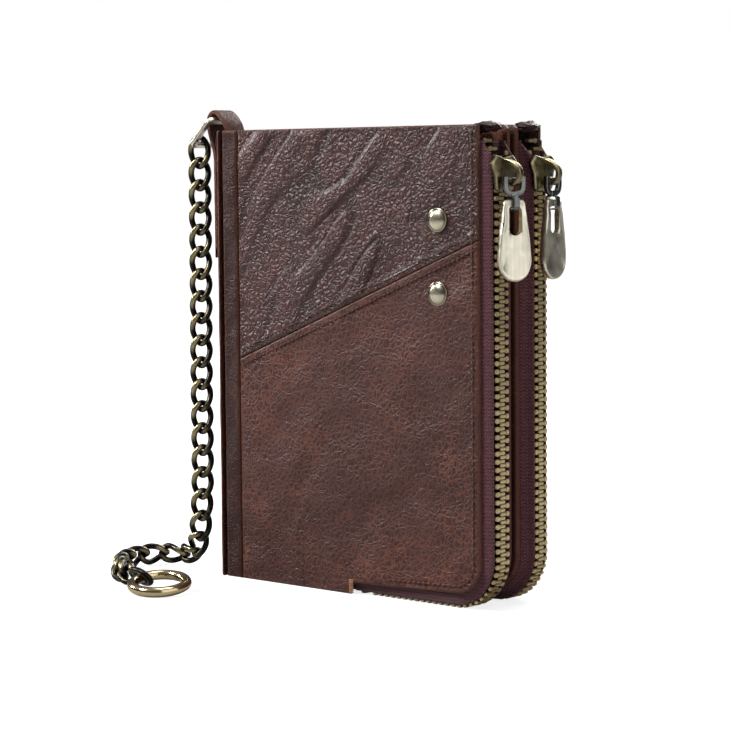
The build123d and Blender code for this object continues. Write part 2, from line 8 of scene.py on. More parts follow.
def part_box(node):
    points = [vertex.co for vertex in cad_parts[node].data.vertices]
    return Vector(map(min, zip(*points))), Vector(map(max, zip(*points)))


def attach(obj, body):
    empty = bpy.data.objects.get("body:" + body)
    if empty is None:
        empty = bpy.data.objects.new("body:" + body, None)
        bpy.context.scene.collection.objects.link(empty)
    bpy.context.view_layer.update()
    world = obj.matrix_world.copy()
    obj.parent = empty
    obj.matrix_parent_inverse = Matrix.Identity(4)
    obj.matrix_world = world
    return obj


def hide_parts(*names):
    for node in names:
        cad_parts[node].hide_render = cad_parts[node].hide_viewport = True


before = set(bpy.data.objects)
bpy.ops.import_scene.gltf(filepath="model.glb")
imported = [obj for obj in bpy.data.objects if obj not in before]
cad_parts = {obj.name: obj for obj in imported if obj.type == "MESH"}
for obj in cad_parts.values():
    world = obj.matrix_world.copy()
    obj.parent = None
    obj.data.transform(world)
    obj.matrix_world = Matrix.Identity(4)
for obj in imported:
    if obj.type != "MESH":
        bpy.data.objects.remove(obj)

bl_info = {
    "name": "Chain Wallet",
    "version": (1, 0, 0),
    "blender": (4, 5, 0),
    "location": "View3D > Sidebar > Wallet",
    "description": "Leather, zips and chain of a bifold wallet that stands closed on its bottom edge",
    "category": "Add Mesh",
}

# Millimetres, from the outer face of the spine.  Front is -Y, the zips are at high X.
MIDDLE = np.array([50.6, 0.0, 0.0])
TALL = 1000 * (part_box("spine_strip")[1][2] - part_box("spine_strip")[0][2])
FACE = 13.3
BACK = 12.1
PANEL_LEFT = 9.4
PANEL_RIGHT = 95.0
NOTCH = 50.0
CREST = 98.9
ZIP_Y = 8.0
ZIP_TURN = 13.5
ZIP_END = 54.0
SPLIT = TALL - 14.6
ROWS_TOP = TALL - 4.0
SLIDER_Z = TALL - 12.4
TUCK = SLIDER_Z + 4.7
TOOTH_PITCH = 2.1
TOOTH_DEPTH = 1.8
PIN_X = 102.7
PIN_Z = SLIDER_Z - 1.5
LINK_DROP = 6.2
PULL_TURN = {-1: math.radians(-24.0), 1: 0.0}
RING_TOP = (-1.2, TALL + 2.8)
RING_LOW = (-7.776, TALL - 3.776)
SIDES = ((-1, "front"), (1, "rear"))
RIVETS = ((81.8, 81.7), (81.8, 100.7))

# The chain's route, as in the part: down from the ring, along the floor and round to the end ring
HANG_X, HANG_Y = -7.776, -11.0
FLOOR = 3.35
ROUTE = [
    (HANG_X, HANG_Y, 119.224), (HANG_X + 0.2, HANG_Y - 0.3, 87.0), (HANG_X + 0.3, HANG_Y - 0.8, 57.0),
    (HANG_X + 0.6, HANG_Y - 1.0, 32.0), (HANG_X + 0.4, HANG_Y - 1.3, 19.5), (HANG_X - 1.0, HANG_Y - 0.8, 11.6),
    (HANG_X - 4.4, HANG_Y + 0.8, 5.6), (HANG_X - 10.5, HANG_Y + 2.6, FLOOR), (HANG_X - 16.4, HANG_Y + 1.2, FLOOR),
    (HANG_X - 19.4, HANG_Y - 4.4, FLOOR), (HANG_X - 18.8, HANG_Y - 11.8, FLOOR),
    (HANG_X - 14.8, HANG_Y - 19.4, FLOOR), (HANG_X - 8.2, HANG_Y - 26.2, FLOOR),
    (HANG_X - 0.8, HANG_Y - 30.6, FLOOR), (HANG_X + 7.6, HANG_Y - 32.0, FLOOR),
]


# ---------------------------------------------------------------- mesh helpers

def place(points):
    """Millimetres from the spine to metres in the row's frame."""
    return (np.asarray(points, float) - MIDDLE) / 1000.0


def piece(name, points, faces, body, finish, nodes=(), wear=None, hollow=None, sharp=40.0, metres=False):
    """One mesh piece: it rides on a body, takes a slot and stands for CAD nodes."""
    mesh = bpy.data.meshes.new(name)
    spots = np.asarray(points, float) if metres else place(points)
    mesh.from_pydata([tuple(p) for p in spots], [], [tuple(f) for f in faces])
    mesh.polygons.foreach_set("use_smooth", [True] * len(mesh.polygons))
    mesh.set_sharp_from_angle(angle=math.radians(sharp))
    for key, values in (("wear", wear), ("hollow", hollow)):
        layer = mesh.attributes.new(key, "FLOAT", "POINT")
        layer.data.foreach_set("value", np.zeros(len(points)) if values is None else np.asarray(values, float))
    bm = bmesh.new()
    bm.from_mesh(mesh)
    bmesh.ops.recalc_face_normals(bm, faces=bm.faces)
    bm.to_mesh(mesh)
    bm.free()
    mesh.materials.append(finish)
    obj = bpy.data.objects.new(name, mesh)
    bpy.context.collection.objects.link(obj)
    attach(obj, body)
    if nodes:
        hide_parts(*nodes)
    return obj


class Heap:
    """Points and faces that are gathered from many small shapes."""

    def __init__(self):
        self.points, self.faces, self.wear, self.hollow, self.count = [], [], [], [], 0

    def add(self, points, faces, wear=0.0, hollow=0.0):
        points = np.asarray(points, float)
        self.points.append(points)
        self.faces.extend([tuple(i + self.count for i in f) for f in faces])
        self.wear.append(np.broadcast_to(wear, len(points)))
        self.hollow.append(np.broadcast_to(hollow, len(points)))
        self.count += len(points)

    def piece(self, name, body, slot, finish, nodes=(), sharp=40.0):
        return piece(name, np.concatenate(self.points), self.faces, body, finish, nodes,
                     np.concatenate(self.wear), np.concatenate(self.hollow), sharp)


def unit(v):
    v = np.asarray(v, float)
    return v / np.linalg.norm(v)


def sweep(path, section, across, closed=False, widths=None):
    """A tube: section points (a, b) carried along path; a runs along 'across', b along the path's other normal."""
    path = np.asarray(path, float)
    n, m = len(path), len(section)
    points = []
    a = unit(across)
    for i in range(n):
        ahead = path[(i + 1) % n] if closed or i < n - 1 else path[i]
        behind = path[i - 1] if closed or i > 0 else path[i]
        t = unit(ahead - behind)
        a = unit(a - t * a.dot(t))
        b = np.cross(t, a)
        k = 1.0 if widths is None else widths[i]
        for u, v in section:
            points.append(path[i] + k * u * a + k * v * b)
    faces = []
    for i in range(n if closed else n - 1):
        for j in range(m):
            faces.append((i * m + j, i * m + (j + 1) % m, (i + 1) % n * m + (j + 1) % m, (i + 1) % n * m + j))
    if not closed:
        faces.append(tuple(range(m)))
        faces.append(tuple(range((n - 1) * m, n * m)))
    return np.array(points), faces


def oval(a, b, count=12):
    return [(a * math.cos(2 * math.pi * k / count), b * math.sin(2 * math.pi * k / count)) for k in range(count)]


def soft_box(a, b, r, count=3):
    """A rectangle of half sizes a and b with rounded corners."""
    points = []
    for sa, sb, start in ((1, 1, 0), (-1, 1, 90), (-1, -1, 180), (1, -1, 270)):
        for k in range(count + 1):
            t = math.radians(start + 90 * k / count)
            points.append((sa * (a - r) + r * math.cos(t), sb * (b - r) + r * math.sin(t)))
    return points


def curve_through(points, step=0.4, closed=False):
    """A smooth line through points."""
    points = np.asarray(points, float)
    n = len(points)
    out = []
    for i in range(n if closed else n - 1):
        p0 = points[(i - 1) % n] if closed or i > 0 else points[0]
        p1, p2 = points[i], points[(i + 1) % n]
        p3 = points[(i + 2) % n] if closed or i < n - 2 else points[-1]
        count = max(2, int(np.linalg.norm(p2 - p1) / step))
        for k in range(count):
            t = k / count
            out.append(0.5 * (2 * p1 + (p2 - p0) * t + (2 * p0 - 5 * p1 + 4 * p2 - p3) * t * t
                              + (3 * p1 - p0 - 3 * p2 + p3) * t ** 3))
    if not closed:
        out.append(points[-1])
    return np.array(out)


def lathe(profile, centre, axis, count=32):
    """A turned shape: profile of (radius, height) round an axis."""
    w = unit(axis)
    u = unit(np.cross(w, (0.3, 0.5, 0.8)))
    v = np.cross(w, u)
    points, faces = [], []
    for r, h in profile:
        for k in range(count):
            t = 2 * math.pi * k / count
            points.append(np.asarray(centre) + r * (math.cos(t) * u + math.sin(t) * v) + h * w)
    for i in range(len(profile) - 1):
        for k in range(count):
            faces.append((i * count + k, i * count + (k + 1) % count,
                          (i + 1) * count + (k + 1) % count, (i + 1) * count + k))
    faces.append(tuple(range(count)))
    faces.append(tuple(range((len(profile) - 1) * count, len(profile) * count)))
    return np.array(points), faces


def lines_between(low, high, step, border=(0.0, 0.08, 0.22, 0.45, 0.8)):
    """Grid lines between two edges, closer together at both edges."""
    inner = np.linspace(low + 1.2, high - 1.2, max(2, int((high - low - 2.4) / step) + 1))
    return np.concatenate([low + np.array(border), inner, high - np.array(border)[::-1]])


def no_relief(x, z):
    return 0.0, 0.0


def leather_panel(heap, left, right, bottom, top, outer, inner, side, step=1.0, relief=no_relief,
                  rounding=0.5, breaks=(), corner=None, skirt=True, edge_wear=1.0):
    """A sheet between two edges, its outer face modelled and its edges rounded."""
    xs = lines_between(left, right, step)
    for spot in breaks:
        xs = np.sort(np.concatenate([xs[np.abs(xs - spot) > 0.3], [spot - 0.02, spot + 0.02]]))
    if corner:
        x0, radius = corner
        turn = right - radius + radius * np.sin(np.linspace(0, math.pi / 2, 14))
        xs = np.sort(np.concatenate([xs[xs < right - radius], turn]))
    rows = lines_between(0.0, 1.0, 1.0)
    reach = max(top(x) - bottom(x) for x in xs)
    count = max(3, int((reach - 2.4) / step) + 1)
    border = np.array((0.0, 0.08, 0.22, 0.45, 0.8))
    points, wear, hollow = [], [], []
    for x in xs:
        low, high = bottom(x), top(x)
        room = high - low
        inset = border * min(1.0, room / 6.0)
        edge = 1.2 * min(1.0, room / 6.0)
        rows = np.concatenate([low + inset, np.linspace(low + edge, high - edge, count), high - inset[::-1]])
        for z in rows:
            gap = min(x - left, right - x, z - low, high - z)
            if corner and x > right - corner[1] and z < low + corner[1]:
                centre_z = bottom(right - corner[1]) + corner[1]
                if z < centre_z:
                    gap = min(gap, corner[1] - math.hypot(x - right + corner[1], z - centre_z))
            gap = max(gap, 0.0)
            drop = 0.0
            if gap < rounding:
                drop = rounding - math.sqrt(max(0.0, rounding ** 2 - (rounding - gap) ** 2))
            height, dark = relief(x, z)
            fade = min(1.0, gap / 1.6)
            points.append((x, side * (outer - drop + height * fade), z))
            wear.append(edge_wear * max(0.0, 1.0 - gap / (rounding * 1.2)))
            # Painted shade from the relief's creases goes into the vertex mark.
            hollow.append(dark)
    n, m = len(xs), len(rows)
    faces = []
    for i in range(n - 1):
        for j in range(m - 1):
            faces.append((i * m + j, (i + 1) * m + j, (i + 1) * m + j + 1, i * m + j + 1))
    if skirt:
        loop = [j for j in range(m)] + [i * m + m - 1 for i in range(1, n)]
        loop += [(n - 1) * m + j for j in range(m - 2, -1, -1)] + [i * m for i in range(n - 2, 0, -1)]
        start = len(points)
        for k in loop:
            x, y, z = points[k]
            points.append((x, side * inner, z))
            wear.append(edge_wear)
            hollow.append(0.0)
        size = len(loop)
        for k in range(size):
            faces.append((loop[k], loop[(k + 1) % size], start + (k + 1) % size, start + k))
        faces.append(tuple(range(start, start + size)))
    heap.add(points, faces, wear, hollow)


def frame_panel(heap, outer_loop, inner_loop, y_out, y_in, side, rounding=0.35):
    """A flat frame between two loops of (x, z) with the same number of points."""
    a, b = np.array(outer_loop, float), np.array(inner_loop, float)
    rings = []
    for share, drop in ((0.0, 1.0), (0.04, 0.35), (0.12, 0.0), (0.5, -0.25), (0.88, 0.0), (0.96, 0.35), (1.0, 1.0)):
        flat = a + (b - a) * share
        rings.append(np.column_stack([flat[:, 0], np.full(len(flat), side * (y_out - rounding * drop)), flat[:, 1]]))
    for flat in (b, a):
        rings.append(np.column_stack([flat[:, 0], np.full(len(flat), side * y_in), flat[:, 1]]))
    n = len(a)
    points = np.concatenate(rings)
    faces = []
    for i in range(len(rings)):
        j = (i + 1) % len(rings)
        for k in range(n):
            faces.append((i * n + k, i * n + (k + 1) % n, j * n + (k + 1) % n, j * n + k))
    wear = np.concatenate([np.full(n, w) for w in (1, 0.7, 0.1, 0, 0.1, 0.7, 1, 1, 1)])
    heap.add(points, faces, wear)


def outline(corners, count=200):
    """A closed loop of (x, z) through rounded corners, evenly spaced along its length."""
    line = []
    n = len(corners)
    for k in range(n):
        x, z, r = corners[k]
        p = np.array((x, z))
        a = unit(np.array(corners[k - 1][:2]) - p)
        b = unit(np.array(corners[(k + 1) % n][:2]) - p)
        half = math.acos(max(-1, min(1, a.dot(b)))) / 2
        if r <= 0:
            line.append(p)
            continue
        start, end = p + a * r / math.tan(half), p + b * r / math.tan(half)
        centre = p + unit(a + b) * r / math.sin(half)
        for t in np.linspace(0, 1, 9):
            q = start + (end - start) * t
            line.append(centre + unit(q - centre) * r)
    line = np.array(line)
    closed = np.vstack([line, line[:1]])
    s = np.concatenate([[0], np.cumsum(np.linalg.norm(np.diff(closed, axis=0), axis=1))])
    t = np.linspace(0, s[-1], count, endpoint=False)
    return np.column_stack([np.interp(t, s, closed[:, 0]), np.interp(t, s, closed[:, 1])])


def stitches(heap, line, normal, pitch, thick, slant=0.0):
    """Thread stitches, half sunk into the leather, along a line of points."""
    line = np.asarray(line, float)
    s = np.concatenate([[0], np.cumsum(np.linalg.norm(np.diff(line, axis=0), axis=1))])
    count = max(1, int(s[-1] / pitch))
    normal = unit(normal)
    for k in range(count):
        middle = (k + 0.5) * s[-1] / count
        p = np.array([np.interp(middle, s, line[:, i]) for i in range(3)])
        q = np.array([np.interp(middle + 0.1, s, line[:, i]) for i in range(3)])
        q0 = np.array([np.interp(middle - 0.1, s, line[:, i]) for i in range(3)])
        along = unit(q - q0)
        across = np.cross(normal, along)
        along = unit(along + across * slant)
        across = np.cross(normal, along)
        points, faces = [], []
        rings = ((-0.42, 0.25, -0.6), (-0.34, 0.8, -0.1), (-0.12, 1.0, 0.25),
                 (0.12, 1.0, 0.25), (0.34, 0.8, -0.1), (0.42, 0.25, -0.6))
        for share, girth, lift in rings:
            for j in range(6):
                t = math.pi * j / 3
                points.append(p + along * share * pitch + normal * thick * (lift + 0.5 * girth * math.sin(t))
                              + across * thick * 0.62 * girth * math.cos(t))
        for i in range(5):
            for j in range(6):
                faces.append((i * 6 + j, i * 6 + (j + 1) % 6, (i + 1) * 6 + (j + 1) % 6, (i + 1) * 6 + j))
        heap.add(points, faces)


# ---------------------------------------------------------------- finishes

class Nodes:
    """Short ways to wire one material."""

    def __init__(self, name):
        self.material = bpy.data.materials.new(name)
        self.material.use_nodes = True
        self.tree = self.material.node_tree
        self.shader = self.tree.nodes["Principled BSDF"]
        self.coords = self.tree.nodes.new("ShaderNodeTexCoord").outputs["Object"]

    def node(self, kind, values=(), **settings):
        made = self.tree.nodes.new(kind)
        for key, value in settings.items():
            setattr(made, key, value)
        for key, value in dict(values).items():
            if isinstance(value, bpy.types.NodeSocket):
                self.tree.links.new(value, made.inputs[key])
            else:
                made.inputs[key].default_value = value
        return made

    def scaled(self, x, y, z):
        return self.node("ShaderNodeMapping", {"Vector": self.coords, "Scale": (x, y, z)}).outputs[0]

    def cloud(self, scale, detail=3.0, rough=0.5, vector=None, kind="FBM", distortion=0.0):
        made = self.node("ShaderNodeTexNoise", {"Vector": vector or self.coords, "Scale": scale, "Detail": detail,
                                                "Roughness": rough, "Distortion": distortion}, noise_type=kind)
        return made.outputs["Fac"]

    def cells(self, scale, vector=None, feature="DISTANCE_TO_EDGE"):
        made = self.node("ShaderNodeTexVoronoi", {"Vector": vector or self.coords, "Scale": scale}, feature=feature)
        return made.outputs["Distance"]

    def warped(self, reach, scale, vector=None):
        """Coordinates that wander by up to 'reach', so that nothing drawn with them is regular."""
        made = self.node("ShaderNodeTexNoise", {"Vector": vector or self.coords, "Scale": scale, "Detail": 2.0})
        drift = self.node("ShaderNodeVectorMath", {0: made.outputs["Color"], 1: (0.5, 0.5, 0.5)},
                          operation="SUBTRACT").outputs[0]
        drift = self.node("ShaderNodeVectorMath", {0: drift, "Scale": 2.0 * reach}, operation="SCALE").outputs[0]
        return self.node("ShaderNodeVectorMath", {0: vector or self.coords, 1: drift}, operation="ADD").outputs[0]

    def level(self, value, low, high, to_low=0.0, to_high=1.0):
        made = self.node("ShaderNodeMapRange", {"Value": value, "From Min": low, "From Max": high,
                                                "To Min": to_low, "To Max": to_high})
        return made.outputs[0]

    def blend(self, share, a, b):
        made = self.node("ShaderNodeMix", {"Factor": share, 6: a, 7: b}, data_type="RGBA")
        return made.outputs[2]

    def sums(self, kind, a, b):
        return self.node("ShaderNodeMath", {0: a, 1: b}, operation=kind).outputs[0]

    def mark(self, name):
        return self.node("ShaderNodeAttribute", attribute_name=name).outputs["Fac"]

    def bump(self, height, depth, strength=1.0, normal=None):
        values = {"Height": height, "Distance": depth, "Strength": strength}
        if normal is not None:
            values["Normal"] = normal
        return self.node("ShaderNodeBump", values).outputs[0]

    def finish(self, color=None, roughness=None, normal=None, **constants):
        for key, value in (("Base Color", color), ("Roughness", roughness), ("Normal", normal)):
            if isinstance(value, bpy.types.NodeSocket):
                self.tree.links.new(value, self.shader.inputs[key])
            elif value is not None:
                self.shader.inputs[key].default_value = value
        for key, value in constants.items():
            self.shader.inputs[key.replace("_", " ")].default_value = value
        return self.material


def rgba(color):
    return (color[0], color[1], color[2], 1.0)


def leather(name, settings, crackle=1.0, size=1.0, gloss=0.0, tint=1.0, rust=0.6, coat=0.06, shine=0.22):
    """Waxed pull-up leather: patchy brown, pebbled all over, rusty where its fine cracks are rubbed, with painted shade
    in its cracks and folds.
    """
    n = Nodes(name)
    base = [tint * c for c in settings.colour]
    bent = n.warped(0.0016, 300.0, n.scaled(1.0, 1.0, 1.12))
    cell = 1000.0 / (settings.grain * size)
    edges = n.cells(cell, bent)
    pebble = n.sums("POWER", n.level(edges, 0.0, 0.45), 0.6)
    pores = n.level(n.cells(2.6 * cell, bent), 0.0, 0.25)
    lines = n.level(edges, 0.02, 0.13, 1.0, 0.0)
    long_lines = n.level(n.cells(0.23 * cell, n.warped(0.004, 90.0, n.scaled(1.0, 1.0, 0.55))), 0.0, 0.035, 1.0, 0.0)
    patches = n.level(n.cloud(34.0, 5.0, 0.6), 0.34, 0.66)
    fine = n.level(n.cloud(520.0, 4.0, 0.6), 0.35, 0.75)
    color = n.blend(patches, rgba([0.70 * c for c in base]), rgba([1.30 * c for c in base]))
    color = n.blend(n.sums("MULTIPLY", fine, 0.35), color, rgba([1.8 * c for c in base]))
    rubbed = n.level(n.cloud(48.0, 5.0, 0.65), 0.46, 0.66)
    # Painted shade: the fine cracks are darkened as if shadowed, less so where they turn rusty.
    color = n.blend(n.sums("MULTIPLY", lines, 1.0 - rust), color, rgba([0.22 * c for c in base]))
    rusty = n.sums("MULTIPLY", n.sums("MULTIPLY", lines, n.level(rubbed, 0.0, 1.0, 0.35, 1.0)), rust)
    color = n.blend(rusty, color, rgba(settings.worn_colour))
    color = n.blend(n.sums("MULTIPLY", long_lines, n.sums("MULTIPLY", rubbed, 0.3)), color,
                    rgba([1.25 * c for c in settings.worn_colour]))
    color = n.blend(n.sums("MULTIPLY", n.mark("wear"), 0.45), color, rgba(settings.worn_colour))
    # Painted shade: the leather darkens in the relief's folds and creases, following the vertex mark.
    color = n.blend(n.sums("MULTIPLY", n.mark("hollow"), 0.7), color, rgba([0.3 * c for c in base]))
    bump = n.bump(pores, 0.00004, 0.7)
    bump = n.bump(pebble, 0.00018 * crackle * size, 1.0, bump)
    bump = n.bump(n.sums("MULTIPLY", long_lines, -1.0), 0.00007 * crackle, 0.6, bump)
    bump = n.bump(n.cloud(260.0, 3.0, 0.6), 0.00022 * crackle, 0.8, bump)
    rough = n.level(n.cloud(70.0, 4.0, 0.6), 0.3, 0.7, 0.30 - gloss, 0.46 - gloss)
    rough = n.sums("MAXIMUM", rough, n.sums("MULTIPLY", lines, 0.75))
    return n.finish(color, rough, bump, Coat_Weight=coat, Coat_Roughness=0.22, Specular_IOR_Level=shine)


def cloth(name, color, threads, depth=0.00012):
    """Plain woven cloth, its threads running both ways."""
    n = Nodes(name)
    across = n.node("ShaderNodeTexWave", {"Vector": n.coords, "Scale": threads, "Distortion": 0.4},
                    wave_type="BANDS", bands_direction="Z").outputs["Fac"]
    along = n.node("ShaderNodeTexWave", {"Vector": n.coords, "Scale": threads, "Distortion": 0.4},
                   wave_type="BANDS", bands_direction="X").outputs["Fac"]
    weave = n.sums("MULTIPLY", across, along)
    shade = n.blend(n.level(n.cloud(140.0, 4.0), 0.3, 0.7), rgba([0.7 * c for c in color]),
                    rgba([1.3 * c for c in color]))
    shade = n.blend(n.level(weave, 0.0, 1.0, 0.35, 0.0), shade, rgba([0.35 * c for c in color]))
    return n.finish(shade, 0.85, n.bump(weave, depth, 0.9), Sheen_Weight=0.3, Sheen_Roughness=0.4,
                    Specular_IOR_Level=0.2)


def tape_cloth(name, color):
    """Zip tape: a fine herringbone, set slanting both ways."""
    n = Nodes(name)
    slant = n.node("ShaderNodeMapping", {"Vector": n.coords, "Rotation": (0.0, 0.75, 0.0)}).outputs[0]
    other = n.node("ShaderNodeMapping", {"Vector": n.coords, "Rotation": (0.0, -0.75, 0.0)}).outputs[0]
    a = n.node("ShaderNodeTexWave", {"Vector": slant, "Scale": 480.0}, bands_direction="Z").outputs["Fac"]
    b = n.node("ShaderNodeTexWave", {"Vector": other, "Scale": 480.0}, bands_direction="Z").outputs["Fac"]
    ribs = n.node("ShaderNodeTexWave", {"Vector": n.coords, "Scale": 330.0}, bands_direction="Z").outputs["Fac"]
    weave = n.sums("ADD", n.sums("MULTIPLY", a, b), n.sums("MULTIPLY", ribs, 0.6))
    shade = n.blend(n.level(weave, 0.2, 1.3), rgba([0.5 * c for c in color]), rgba([1.45 * c for c in color]))
    shade = n.blend(n.level(n.cloud(900.0, 3.0), 0.4, 0.8, 0.0, 0.4), shade, rgba([1.9 * c for c in color]))
    return n.finish(shade, 0.8, n.bump(weave, 0.00014, 1.0), Sheen_Weight=0.25, Sheen_Roughness=0.5,
                    Specular_IOR_Level=0.25)


def thread(name, color):
    """Waxed thread with its twist."""
    n = Nodes(name)
    twist = n.node("ShaderNodeTexWave", {"Vector": n.coords, "Scale": 900.0}, bands_direction="DIAGONAL").outputs["Fac"]
    shade = n.blend(twist, rgba([0.6 * c for c in color]), rgba([1.3 * c for c in color]))
    return n.finish(shade, 0.6, n.bump(twist, 0.00005, 0.8), Specular_IOR_Level=0.4)


def metal(name, pale, dark, roughness, patina, brushed=0.0, scratches=0.4):
    """Plated metal: pale where it is rubbed, dark where the finish stays and where shade is painted on by the vertex
    mark, with brush lines if asked.
    """
    n = Nodes(name)
    stain = n.level(n.cloud(260.0, 5.0, 0.65), 0.35, 0.7)
    # The vertex mark holds patina in hollows and, on some pieces, painted shade; both darken the metal.
    share = n.sums("MULTIPLY", n.sums("ADD", n.mark("hollow"), n.sums("MULTIPLY", stain, 0.45)), patina)
    color = n.blend(share, rgba(pale), rgba(dark))
    lines = n.cloud(90.0, 4.0, 0.7, vector=n.scaled(14.0, 14.0, 0.5))
    dents = n.cloud(700.0, 3.0, 0.6)
    bump = n.bump(dents, 0.00002, scratches)
    if brushed:
        bump = n.bump(lines, 0.00006, brushed, bump)
        color = n.blend(n.level(lines, 0.35, 0.65, 0.0, 0.22), color, rgba(dark))
    rough = n.level(n.cloud(320.0, 4.0, 0.6), 0.3, 0.7, roughness * 0.75, roughness * 1.35)
    return n.finish(color, rough, bump, Metallic=1.0)


def clear_film(name):
    n = Nodes(name)
    ripple = n.bump(n.cloud(55.0, 2.0), 0.0003, 0.3)
    rough = n.level(n.cloud(120.0, 3.0), 0.3, 0.7, 0.06, 0.16)
    return n.finish(rgba((0.86, 0.87, 0.88)), rough, ripple, Alpha=0.28, IOR=1.45)


FINISHES = {}


def finish_of(key):
    """The finishes are made once, from the settings, and shared by the pieces."""
    if not FINISHES:
        look = bpy.context.scene.wallet_leather
        metals = bpy.context.scene.wallet_metal
        FINISHES.update(
            crinkled=leather("yoke_leather", look, 1.3, 1.45, 0.04, 1.25, 0.12, 0.18, 0.42),
            smooth=leather("field_leather", look, 0.55, 1.5, 0.0, 1.0, 0.95, 0.10, 0.30),
            edge=leather("edge_leather", look, 0.5, 0.9, 0.0, 0.6, 0.3),
            dark=leather("dark_leather", look, 0.6, 1.0, 0.0, 0.5, 0.25),
            teeth=metal("tooth_brass", (0.92, 0.74, 0.42), (0.045, 0.036, 0.025), 0.30, 0.62),
            inner=leather("inner_leather", look, 0.6, 0.7, 0.0, 0.9, 0.3),
            thread=thread("stitching_thread", look.thread_colour),
            tack=thread("tack_thread", (0.34, 0.17, 0.08)),
            lining=cloth("lining_cloth", look.lining_colour, 420.0),
            tape=tape_cloth("zip_tape_weave", look.tape_colour),
            antique=metal("antique_brass_plate", metals.brass, (0.020, 0.018, 0.016), 0.30, 1.0),
            rivet=metal("rivet_brass", (0.74, 0.68, 0.50), (0.10, 0.08, 0.05), 0.22, 0.7),
            brushed=metal("brushed_brass_plate", (0.88, 0.83, 0.68), (0.16, 0.13, 0.09), 0.32, 0.22, 0.5),
            polished=metal("polished_brass_plate", (0.72, 0.58, 0.34), (0.10, 0.07, 0.04), 0.14, 0.55),
            nickel=metal("dark_nickel_plate", (0.20, 0.20, 0.20), (0.03, 0.03, 0.032), 0.20, 0.8),
            film=clear_film("window_film"),
        )
    return FINISHES[key]


# ---------------------------------------------------------------- leather shapes

def seam(x):
    return 61.7 + (x - PANEL_LEFT) / (PANEL_RIGHT - PANEL_LEFT) * 33.9


def cover_bottom(x):
    """The covers' bottom edge: on the floor to the notch, then rising over the zip to a round corner."""
    if x < NOTCH:
        return 0.0
    rise = 3.0 + (min(x, 87.2) - NOTCH) / (PANEL_RIGHT - NOTCH) * 1.6
    if x > 87.0:
        return 12.3 - math.sqrt(max(0.0, 64.0 - (x - 87.0) ** 2))
    return rise


def fold_noise(x, z, size, stretch, seed, width):
    """Crease lines (0 to 1) and puffs (-1 to 1) of leather that was crumpled."""
    p = Vector((x / size, z / (size * stretch), seed))
    p += 0.55 * noise.noise_vector(p * 0.7)
    value = noise.noise(p)
    crease = max(0.0, 1.0 - abs(value) / width)
    return crease * crease * (3 - 2 * crease), value


def crinkles(depth):
    """The yoke's relief: a few slack folds that rise towards the zips, and crumples between them."""
    def relief(x, z):
        turn = math.radians(50.0)
        u, v = x * math.cos(turn) + z * math.sin(turn), -x * math.sin(turn) + z * math.cos(turn)
        folds, puff = fold_noise(v, u, 9.0, 3.6, 3.1, 0.16)
        small, ripple = fold_noise(v, u, 3.6, 1.7, 9.7, 0.15)
        tiny, grit = fold_noise(x, z, 1.9, 0.9, 5.2, 0.20)
        slack = 0.35 + 0.65 * min(1.0, max(0.0, noise.noise(Vector((x / 30, z / 26, 1.7))) + 0.6))
        height = depth * (1.7 * puff - slack * (0.85 * folds + 0.12 * small) + 0.12 * ripple - 0.05 * tiny)
        # The second value is painted shade in the folds' valleys.
        return height, min(1.0, slack * (0.85 * folds + 0.12 * small))
    return relief


def field_relief(depth):
    """The lower cover: quiet, with fine creases and a few long soft ones."""
    def relief(x, z):
        big, puff = fold_noise(x + 0.5 * z, z - 0.4 * x, 17.0, 0.6, 12.3, 0.07)
        small, ripple = fold_noise(x, z, 2.7, 0.8, 4.4, 0.15)
        low = max(0.0, 1.0 - z / 22.0) if z < 22 else 0.0
        wave = 0.35 * low * math.sin(x * 0.42 + 1.3 * math.sin(z * 0.2))
        height = depth * (1.5 * puff - 0.22 * big - 0.10 * small + 0.08 * ripple + wave)
        # The second value is painted shade in the creases.
        return height, min(1.0, 0.3 * big + 0.12 * small)
    return relief


def soft_relief(depth, size=9.0):
    def relief(x, z):
        crease, puff = fold_noise(x, z, size, 1.4, 7.9, 0.10)
        # The second value is painted shade in the crease.
        return depth * (puff - 0.4 * crease), 0.35 * crease
    return relief


def lapped(relief, raise_by):
    """Near the slanted seam the leather lies double, with a groove beside it that is darkened as a painted shadow line.
    """
    def both(x, z):
        height, dark = relief(x, z)
        off = abs(z - seam(x)) * 0.93
        lift = raise_by * max(0.0, 1.0 - max(0.0, off - 1.6) / 1.4) if off < 3.0 else 0.0
        calm = min(1.0, 0.35 + off / 5.0)
        groove = math.exp(-((off - 2.0) / 0.35) ** 2)
        # Painted shadow: the groove beside the seam is darkened, and the folds keep their painted shade.
        return height * calm + lift - 0.10 * groove, max(dark * calm, 0.55 * groove)
    return both


def top_edge(x):
    return TALL


# ---------------------------------------------------------------- settings

